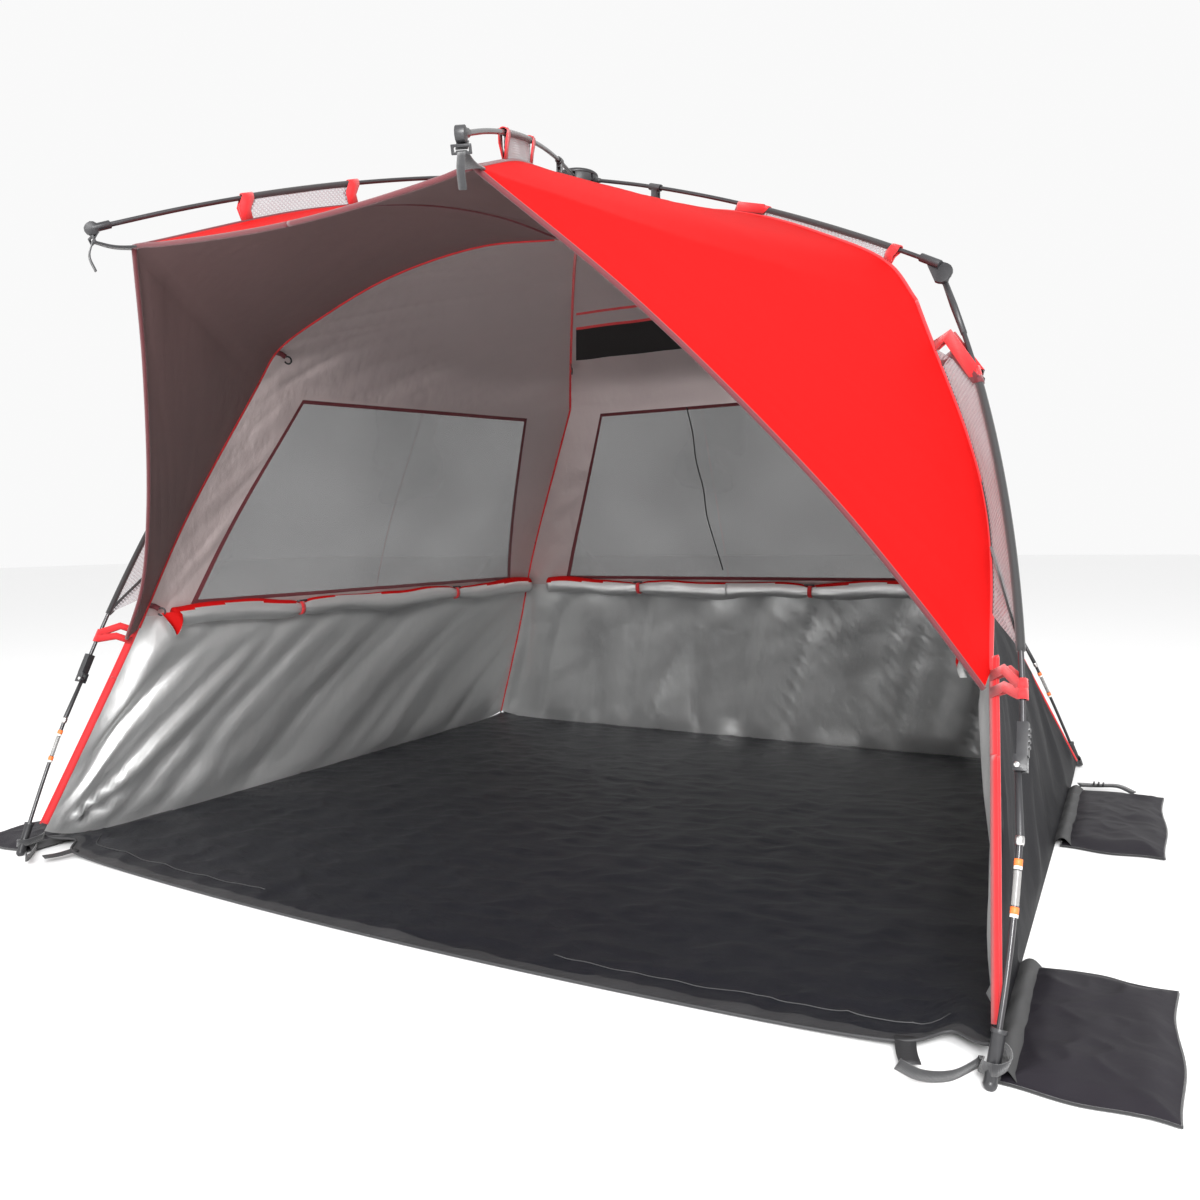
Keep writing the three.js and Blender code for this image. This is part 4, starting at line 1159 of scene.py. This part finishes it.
def web(builder, rod, seam, rod_span, seam_span, side, count=46):
    """A strip of net between a rod and a seam. Returns its edges along the rod and the seam, where the
    callers add the sleeve that holds it to the rod.
    """
    steps = np.linspace(0, 1, count)
    top = mirrored(rod.at(rod_span[0] + (rod_span[1] - rod_span[0]) * steps), side)
    low = mirrored(seam.at(seam_span[0] + (seam_span[1] - seam_span[0]) * steps), side)
    share = np.linspace(0, 1, 7)[None, :, None]
    grid = low[:, None] + (top - low)[:, None] * share
    normals = grid_normals(grid)
    bulge = 0.004 * field(grid, 0.09, 31) * np.sin(math.pi * share[..., 0])
    surface = Surface(grid + normals * bulge[..., None], thickness=0.0011)
    surface.add_to(builder, (0, count - 1), (0, 6), two_faced("net", "net"))
    return top, low


def rib_webs():
    """Net between each rib and its seam, with a sleeve along the rod and a loop at both ends."""
    spans = {
        "front": ((0.485, 0.885), FRONT_RIB, (0.468, 0.890)),
        "rear": ((0.485, 0.885), REAR_RIB, (0.468, 0.890)),
        "awning": ((0.430, 0.685), AWNING_RIB, None),
    }
    for side in SIDES:
        for leg, (rod_span, seam, seam_span) in spans.items():
            label = f"{leg}_{side}"
            rod = RIBS[f"{leg}_right"]
            if seam_span is None:
                reached = [np.hypot(*(rod.at(s) - HUB)[:2]) for s in rod_span]
                seam_radii = np.hypot(*(seam.points - HUB)[:, :2].T)
                seam_span = np.interp(reached, seam_radii, seam.reached / seam.length)
            made = Builder()
            top, low = web(made, rod, seam, rod_span, seam_span, side)
            add_tube(made, top, 0.0062, "black_tape", sides=12)
            way = unit(top[-1] - top[0])
            for k in (0, -1):
                loop_strap(made, top[k], way, low[k], width=0.024 if leg == "awning" else 0.019)
            finish_piece(made, f"web_{label}", f"rib_{label}", "grey_mesh")


def leg_webs():
    """Net beside each upper leg, a loop above it, and a pair of loops below."""
    seam_span = (0.085, 0.50)
    seams = {"front": (FRONT_LEG, 0.585), "rear": (REAR_LEG, 0.60)}
    for side in SIDES:

        def on(line, share):
            return mirrored(line.at(share), side)

        for leg, (seam, loop_share) in seams.items():
            label = f"{leg}_{side}"
            rod = UPPER_LEGS[f"{leg}_right"]
            made = Builder()
            top, low = web(made, rod, seam, (0.145, 0.80), seam_span, side, 64)
            add_tube(made, top, 0.0072, "black_tape", sides=12)
            add_tube(made, low + (top - low) * 0.03, 0.0026, "black_tape", sides=8)
            way = unit(top[4] - top[0])
            loop_strap(made, top[0], way, low[0], width=0.024)
            loop_strap(made, on(rod, 0.165), way, on(seam, 0.115), "dark_tape", 0.016)
            cross_start = on(seam, seam_span[1] - 0.09)
            diagonal = np.array([cross_start, (cross_start + top[-1]) / 2, top[-1]])
            add_ribbon(made, diagonal, 0.014, way, "black_tape", 0.003)
            way = unit(mirrored(rod.at(0.9) - rod.at(0.86), side))
            loop_strap(made, on(rod, 0.868), way, on(seam, loop_share), width=0.017)
            loop_strap(made, on(rod, 0.888), way, on(seam, loop_share + 0.022), width=0.017)
            finish_piece(made, f"leg_web_{label}", f"leg_upper_{label}", "grey_mesh")


def corner_straps():
    """A strap from each awning tip's buckle to the awning's corner."""
    for side in SIDES:
        corner = mirrored(AWNING_RIB.at(1.0), side)
        low, high = (np.array(c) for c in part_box(f"buckle_{side}"))
        ring = (low + high) / 2
        outward = rib_direction(f"rib_hinge_awning_{side}")
        across = np.cross(UP, outward)
        tip = middle(f"tip_cap_{side}")
        made = Builder()
        hang = [tip - UP * 0.010, (tip + ring) / 2 - outward * 0.003, ring + UP * 0.001 - outward * 0.002]
        add_ribbon(made, Path(hang).part(0, 1, 10), 0.018, across, "strap", 0.0018)
        pull = [ring - UP * 0.002, (ring + corner) / 2 - UP * 0.006, corner - outward * 0.01]
        path = Path(pull).part(0, 1, 12)
        add_ribbon(made, path, 0.018, across, "strap", 0.0018, scale=np.linspace(0.9, 1.7, 12))
        tail = [ring - UP * 0.004, ring - UP * 0.030 + outward * 0.006, ring - UP * 0.055 - outward * 0.004]
        add_ribbon(made, Path(tail).part(0, 1, 10), 0.012, across, "strap", 0.0014)
        finish_piece(made, f"corner_strap_{side}", f"rib_awning_{side}", "black_fabric")


def foot_straps():
    """A strap from each floor corner goes round the foot cap and leaves a loose tail on the ground."""
    corners = {"front": FRONT_CORNER, "rear": REAR_CORNER}
    for label in LABELS:
        leg, side = label.split("_")
        corner = mirrored(corners[leg], side)
        foot = middle(f"foot_{label}")
        foot = np.array((*foot[:2], 0.03))
        out = unit((foot - corner) * (1, 1, 0))
        across = np.cross(UP, out)
        ahead = np.array((-0.85 * SIDES[side], -0.5 if leg == "front" else 0.5, 0)) / 0.986
        path = [
            corner + (0, 0, -0.010),
            foot - out * 0.030 + across * 0.016 + (0, 0, 0.006),
            foot + across * 0.018 + (0, 0, 0.002),
            foot + out * 0.018,
            foot - across * 0.018 - (0, 0, 0.006),
            foot - across * 0.016 - out * 0.028 - (0, 0, 0.014),
            foot + ahead * 0.060 - out * 0.010 - (0, 0, 0.020),
            foot + ahead * 0.105 + (0, 0, -0.012),
            foot + ahead * 0.135 + (0, 0, 0.004),
        ]
        made = Builder()
        add_ribbon(made, Path(path).part(0, 1, 60), 0.017, UP + 0.35 * across, "strap", 0.0020)
        finish_piece(made, f"foot_strap_{label}", f"leg_lower_{label}", "black_fabric")


# ---------------------------------------------------------------- rolled window flaps


def add_roll(builder, surface_line, inward, red_ends):
    """A window flap rolled down to its sill: silver, with the flap's red face showing along the top."""
    rail_path = Path(surface_line)
    count, sides = 130, 28
    share = np.linspace(0, 1, count)
    path = rail_path.at(share) + inward * 0.027
    path[:, 2] += 0.004 * np.sin(share * 23) - 0.010 * np.sin(math.pi * share)
    tie_shares = (0.27, 0.72)
    tied = sum(np.exp(-(((share - tie) * rail_path.length / 0.022) ** 2)) for tie in tie_shares)
    radius = 0.027 * (1 - 0.30 * tied) * (1 + 0.10 * np.sin(share * 17) + 0.06 * np.sin(share * 41))
    tangents, side, lift = frames_along(path, inward)
    angles = np.arange(sides) * 2 * math.pi / sides
    round_it = (share[:, None] * 14, np.cos(angles) * 1.2, np.sin(angles) * 1.2)
    wobble = field(np.stack(np.broadcast_arrays(*round_it), axis=-1), 1.0, 41)
    pucker = 0.12 * tied[:, None] * np.cos(7 * angles)
    size = radius[:, None] * (1 + 0.10 * wobble + pucker)
    flat = 1.0 - 0.34 * np.abs(np.cos(angles))
    rings = path[:, None] + (size * flat)[..., None] * (
        side[:, None] * np.cos(angles)[None, :, None] + lift[:, None] * np.sin(angles)[None, :, None]
    )
    looks = []
    top_angle = math.pi * 0.5 if (lift[0] @ UP) > 0 else math.pi * 1.5
    for i in range(count - 1):
        near_end = max(math.exp(-share[i] * 7), math.exp(-(1 - share[i]) * 7))
        reach = 0.34 + 0.12 * math.sin(share[i] * 19) + red_ends * near_end
        for j in range(sides):
            off = abs((angles[j] + math.pi / sides - top_angle + math.pi) % (2 * math.pi) - math.pi)
            looks.append("red" if off < reach else "silver")
    faces = ring_faces(count, sides) + end_faces(count, sides)
    looks += ["red", "red"]
    u = share[:, None] * rail_path.length
    uv = np.stack(np.broadcast_arrays(u, angles[None] * 0.018), axis=-1)
    builder.add(rings, faces, looks, uv)
    for tie in tie_shares:
        k = int(round(tie * (count - 1)))
        turns = np.linspace(0, 2 * math.pi, 25)[:, None]
        ring = path[k] + 0.0155 * side[k] * np.cos(turns) + 0.0205 * lift[k] * np.sin(turns)
        add_ribbon(builder, ring, 0.014, tangents[k], "red_tape", 0.0016)
        bar = path[k] + UP * 0.021 + inward * 0.004
        toggle = np.array([bar - tangents[k] * 0.020, bar, bar + tangents[k] * 0.014])
        add_tube(builder, toggle, 0.0032, "plastic", sides=10)
    return path


def add_loose_corner(builder, point, along, inward, size):
    """The free corner of a rolled flap, which hangs down red side out."""
    steps = np.linspace(0, 1, 9)
    a, b = np.meshgrid(steps, steps, indexing="ij")
    narrowing = 1 - a * 0.85
    grid = (
        point
        + (along * size * 0.9)[None, None] * ((b - 0.35) * narrowing)[..., None]
        - UP * (a * size)[..., None]
        + inward * (0.010 + 0.012 * np.sin(a * 2.6) + 0.006 * np.sin(b * 5 + a * 3))[..., None]
    )
    surface = Surface(grid, thickness=0.0016)
    surface.add_to(builder, (0, 8), (0, 8), two_faced("silver", "red"))


def side_rolls(right, rows, columns):
    """The rolled flap of each side window."""
    row = row_index(rows, 0.772)
    first, last = np.searchsorted(columns, 0.02), np.searchsorted(columns, 0.93)
    line = right.inner[row, first : last + 1 : 6]
    for side in SIDES:
        label = f"rear_{side}"
        path_points = mirrored(line, side)
        inward = unit(np.cross(UP, path_points[-1] - path_points[0])) * -SIDES[side]
        if inward[0] * SIDES[side] > 0:
            inward = -inward
        made = Builder()
        path = add_roll(made, path_points, inward, 0.7)
        along = unit(path[-1] - path[-6])
        add_loose_corner(made, path[-1] + UP * 0.012, along, inward, 0.062)
        across, anchor = closing_line(REAR_LEG, 0, 0.6, FRONT_LEG.at(0.5), side)
        name, node = f"rolled_flap_{side}", f"flap_roll_{side}"
        cloth_piece(made, name, f"leg_upper_{label}", "silver_fabric", across, anchor, node)


def rear_roll(surface, rows, columns):
    """The rolled flap of the rear window, in two halves."""
    row = row_index(rows, 0.772)
    first, last = np.searchsorted(columns, 0.085), np.searchsorted(columns, 0.915)
    line = surface.inner[row, first : last + 1 : 6]
    inward = np.array((0.0, -1.0, 0.0))
    whole = Builder()
    add_roll(whole, line, inward, 0.7)
    made = whole.make("rolled_flap_rear")
    halves = split_at_middle(made)
    for side, half in halves.items():
        if side == "right":
            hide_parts("flap_roll_rear")
        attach(half, f"leg_upper_rear_{side}")
        across, anchor = closing_line(REAR_LEG, 0, 0.6, REAR_LEG.at(0.5) * (-1, 1, 1), side)
        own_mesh(half)


def split_at_middle(made):
    """Cuts a piece at x = 0 and closes both halves."""
    halves = {}
    for side, sign in SIDES.items():
        form = bmesh.new()
        form.from_mesh(made.data)
        geometry = form.verts[:] + form.edges[:] + form.faces[:]
        plane = {"plane_co": (0, 0, 0), "plane_no": (sign, 0, 0)}
        bmesh.ops.bisect_plane(form, geom=geometry, clear_inner=True, **plane)
        rim = [e for e in form.edges if e.is_boundary]
        bmesh.ops.holes_fill(form, edges=rim, sides=0)
        mesh = bpy.data.meshes.new(f"{made.name}_{side}")
        form.to_mesh(mesh)
        form.free()
        for look in made.data.materials:
            mesh.materials.append(look)
        half = bpy.data.objects.new(f"{made.name}_{side}", mesh)
        bpy.context.scene.collection.objects.link(half)
        halves[side] = half
    bpy.data.objects.remove(made)
    return halves


# ---------------------------------------------------------------- floor and sand pockets

FLOOR_BOW = 0.050  # how far the floor's front edge bows forward
FLOOR_COLUMNS, FLOOR_ROWS = 91, 149  # cells of each half of the floor
HEM_SHARE = 0.012  # share of the floor's depth that the front hem takes


def floor_sheets():
    """The floor in two halves: low wrinkles, a hem with a seam beside it, and raised corners."""
    for side, sign in SIDES.items():
        x_lines = np.linspace(0, 1, FLOOR_COLUMNS + 1)
        y_lines = np.linspace(0, 1, FLOOR_ROWS + 1)
        x, y = np.meshgrid(x_lines, y_lines, indexing="ij")
        notch = 0.045 * np.exp(-(((x - 0.945) / 0.03) ** 2))
        front = -HALF_DEPTH - FLOOR_BOW * np.cos(x * math.pi / 2) + notch
        depth = front + (HALF_DEPTH - front) * y
        corner_pull = (0.030 * (y < 0.5) + 0.012 * (y >= 0.5)) * x**10 * np.abs(2 * y - 1) ** 10
        points = np.stack([x * HALF_WIDTH * sign, depth, 0.0035 + corner_pull], axis=-1)
        edge = np.minimum(1 - x, np.minimum(y, 1 - y) * 1.4)
        even = np.stack([np.abs(points[..., 0]) * sign, points[..., 1], points[..., 2]], axis=-1)
        swell = 0.0045 * (field(even, 0.30, 51) + 0.4) + 0.0046 * field(even, 0.11, 52, (1.6, 0.6, 1))
        swell += 0.0052 * (1 - np.abs(field(even, 0.075, 53, (0.7, 1.5, 1)))) ** 4
        hem_ripple = 0.004 * field(even, 0.06, 54, (1.4, 0.3, 1)) * np.exp(-(y * 2) / 0.05)
        relief = np.maximum(0, swell + hem_ripple) * smooth_step(edge / 0.015)
        points[..., 2] += relief
        surface = Surface(points, thickness=0.0016)
        made = Builder()

        def look_at(i, j):
            return "black", "hem" if y_lines[j] < HEM_SHARE else "floor"

        surface.add_to(made, (0, FLOOR_COLUMNS), (0, FLOOR_ROWS), look_at)
        hem = surface.points[:, 0] + (0, 0, 0.0012)
        add_tube(made, hem, 0.0030, "hem", sides=8)
        seam = surface.points[:, 5] + (0, 0, 0.0012)
        add_tube(made, seam[30:-6], 0.0014, "hem", sides=6)
        peg_loop(made, surface.points[int(0.90 * FLOOR_COLUMNS), 0], sign)
        nodes = ("floor_sheet",) if side == "right" else ()
        floor_piece(made, f"floor_{side}", side, *nodes)


def peg_loop(builder, edge_point, sign):
    """A peg loop of tape on the floor's front hem."""
    out = np.array((sign * 0.35, -0.94, 0))
    start, end = edge_point + (0, 0.012, 0.003), edge_point + out * 0.062 + (0, 0, 0.001)
    path = [start, edge_point + out * 0.03, end]
    add_ribbon(builder, Path(path).part(0, 1, 8), 0.030, (0.94, sign * 0.35, 0), "hem", 0.0018)


def floor_piece(builder, name, side, *nodes):
    """A soft piece that folds up with one half of the floor."""
    made = finish_piece(builder, name, f"floor_side_{side}", "black_fabric", *nodes)
    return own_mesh(made)


def sand_pockets():
    """Flat, half empty bags beside the floor, each on a grey band of cloth."""
    for side, sign in SIDES.items():
        for place, seed in (("front", 61), ("rear", 67)):
            node = f"sand_pocket_{place}_{side}"
            low, high = (np.array(c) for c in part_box(node))
            inner_x, outer_x = sorted((abs(low[0]), abs(high[0])))
            s, t = np.meshgrid(np.linspace(0, 1, 44), np.linspace(0, 1, 70), indexing="ij")
            x = inner_x + (outer_x - inner_x) * (s + 0.02 * np.sin(t * 9 + seed) * s)
            y = low[1] + (high[1] - low[1]) * (t + 0.012 * np.sin(s * 8 + seed) * (2 * t - 1))
            flat = np.stack([x, y, np.zeros_like(x)], axis=-1)
            rim = np.minimum(np.minimum(s, 1 - s) * 0.22, np.minimum(t, 1 - t) * 0.42)
            puff = smooth_step(rim / 0.05) ** 0.7
            dents = field(flat, 0.10, seed) * 0.006 + 0.004 * (1 - np.abs(field(flat, 0.06, seed + 1))) ** 3
            height = 0.003 + puff * (0.012 + dents) + 0.0025 * field(flat, 0.05, seed + 2)
            top = np.stack([x * sign, y, np.maximum(0.0030, height) + 0.0005], axis=-1)
            surface = Surface(top, thickness=0.0030)
            made = Builder()
            surface.add_to(made, (0, 43), (0, 69), two_faced("pocket", "pocket"))
            band_x = np.linspace(HALF_WIDTH - 0.002, inner_x + 0.022, 8)
            bx, by = np.meshgrid(band_x, np.linspace(low[1] + 0.01, high[1] - 0.01, 40), indexing="ij")
            band_share = (bx - band_x[0]) / (band_x[-1] - band_x[0])
            rise = np.sin(math.pi * band_share)
            bz = 0.006 + 0.014 * rise + 0.003 * np.sin(by * 60) * rise
            band = Surface(np.stack([bx * sign, by, bz], axis=-1), thickness=0.0014)
            band.add_to(made, (0, 7), (0, 39), two_faced("grey_band", "grey_band"))
            edge = np.concatenate([top[0, ::-1], top[:, 0], top[-1], top[::-1, -1]])
            add_tube(made, edge[::2], 0.0022, "black_tape", sides=6)
            if place == "rear":
                pocket_buckle(made, np.array((sign * (inner_x + 0.06), high[1] + 0.005, 0.02)), sign)
            floor_piece(made, f"sand_bag_{place}_{side}", side, node)


def pocket_buckle(builder, centre, sign):
    """A strap with a bar buckle that closes the rear pocket."""
    offsets = ((-0.05, -0.03, 0.004), (0, 0, 0), (0.05, -0.010, 0.006), (0.09, -0.04, -0.002))
    path = [centre + (x * sign, y, z) for x, y, z in offsets]
    add_ribbon(builder, Path(path).part(0, 1, 16), 0.018, (0, 1, 0.3), "strap", 0.0018)
    for offset in (-0.012, 0.0, 0.012):
        bar = centre + (offset * sign, -0.001, 0.006)
        half = np.array((0, 0.014, 0))
        add_tube(builder, np.array([bar - half, bar, bar + half]), 0.0026, "plastic", sides=8)


def tie_hooks():
    """Small black hooks on red tabs, for the rolled door that isn't fitted here."""
    spots = (
        ("front", FRONT_RIB, 0.90, "rib_front"),
        ("rear", REAR_RIB, 0.80, "rib_rear"),
        ("knee", FRONT_LEG, KNEE - 0.05, "leg_upper_front"),
    )
    for side in SIDES:
        for name, line, share, body in spots:
            point = mirrored(line.at(share), side)
            way = unit(mirrored(line.at(share + 0.01) - line.at(share - 0.01), side))
            inward = unit((TENT_MIDDLE - point) * (1, 1, 0.2))
            made = Builder()
            tab = [point, point + inward * 0.016 - UP * 0.003, point + inward * 0.028 - UP * 0.010]
            add_ribbon(made, np.array(tab), 0.014, way, "dark_tape", 0.0016)
            centre = point + inward * 0.034 - UP * 0.018
            turns = np.linspace(-2.6, 2.2, 15)
            ring = [centre + 0.010 * (inward * math.cos(a) + UP * math.sin(a)) for a in turns]
            add_tube(made, np.array(ring), 0.0024, "plastic", sides=8, hint=way)
            finish_piece(made, f"tie_hook_{name}_{side}", f"{body}_{side}", "black_plastic")


side_surface, side_rows, side_columns = side_walls()
rear_surface, rear_rows, rear_columns = rear_wall()
awning_sides()
awning_front()
front_bands()
rib_webs()
leg_webs()
corner_straps()
foot_straps()
side_rolls(side_surface, side_rows, side_columns)
rear_roll(rear_surface, rear_rows, rear_columns)
floor_sheets()
sand_pockets()
tie_hooks()

# ---------------------------------------------------------------- stage, light and camera

CAMERA_PLACE = (1.2727, -2.4371, 0.7571)
CAMERA_TURN = {"yaw": -0.5027, "pitch": -0.0650, "roll": -0.0137}
CAMERA_LENS = 29.64  # millimetres, on a 36 mm sensor


def add_stage():
    mesh = bpy.data.meshes.new("ground")
    size = 30
    corners = [(-size, -size, 0), (size, -size, 0), (size, size, 0), (-size, size, 0)]
    mesh.from_pydata(corners, [], [(0, 1, 2, 3)])
    ground = bpy.data.objects.new("ground", mesh)
    bpy.context.scene.collection.objects.link(ground)
    made = Finish("ground", (0.93, 0.93, 0.93), 0.9)
    made.shader.inputs["Specular IOR Level"].default_value = 0.1
    mesh.materials.append(made.material)


def add_area_light(name, place, target, size, power):
    light = bpy.data.lights.new(name, "AREA")
    light.energy, light.size = power, size
    lamp = bpy.data.objects.new(name, light)
    lamp.location = place
    lamp.rotation_euler = (Vector(target) - Vector(place)).to_track_quat("-Z", "Y").to_euler()
    bpy.context.scene.collection.objects.link(lamp)


def add_lights():
    world = bpy.data.worlds.new("studio")
    world.use_nodes = True
    background = world.node_tree.nodes["Background"]
    background.inputs["Color"].default_value = (1, 1, 1, 1)
    background.inputs["Strength"].default_value = 0.95
    bpy.context.scene.world = world
    add_area_light("key", (3.4, -3.6, 4.2), (0, 0, 0.6), 2.0, 150)
    add_area_light("front", (1.9, -4.3, 2.3), (-0.4, 0.6, 0.5), 1.3, 230)
    add_area_light("fill", (-3.2, -3.6, 2.0), (0.2, 0.5, 0.5), 2.0, 40)


def add_camera():
    """Sets the scene's camera."""
    yaw, pitch, roll = (CAMERA_TURN[k] for k in ("yaw", "pitch", "roll"))
    ahead = Vector((math.sin(yaw) * math.cos(pitch), math.cos(yaw) * math.cos(pitch), math.sin(pitch)))
    right = Vector((math.cos(yaw), -math.sin(yaw), 0))
    up = right.cross(ahead)
    turned_right = math.cos(roll) * right + math.sin(roll) * up
    turned_up = math.cos(roll) * up - math.sin(roll) * right
    data = bpy.data.cameras.new("camera")
    data.lens, data.sensor_width = CAMERA_LENS, 36
    camera = bpy.data.objects.new("camera", data)
    axes = Matrix((turned_right, turned_up, -ahead)).transposed().to_4x4()
    camera.matrix_world = Matrix.Translation(CAMERA_PLACE) @ axes
    bpy.context.scene.collection.objects.link(camera)
    bpy.context.scene.camera = camera


add_stage()
add_lights()
add_camera()
bpy.context.scene.view_settings.view_transform = "Standard"
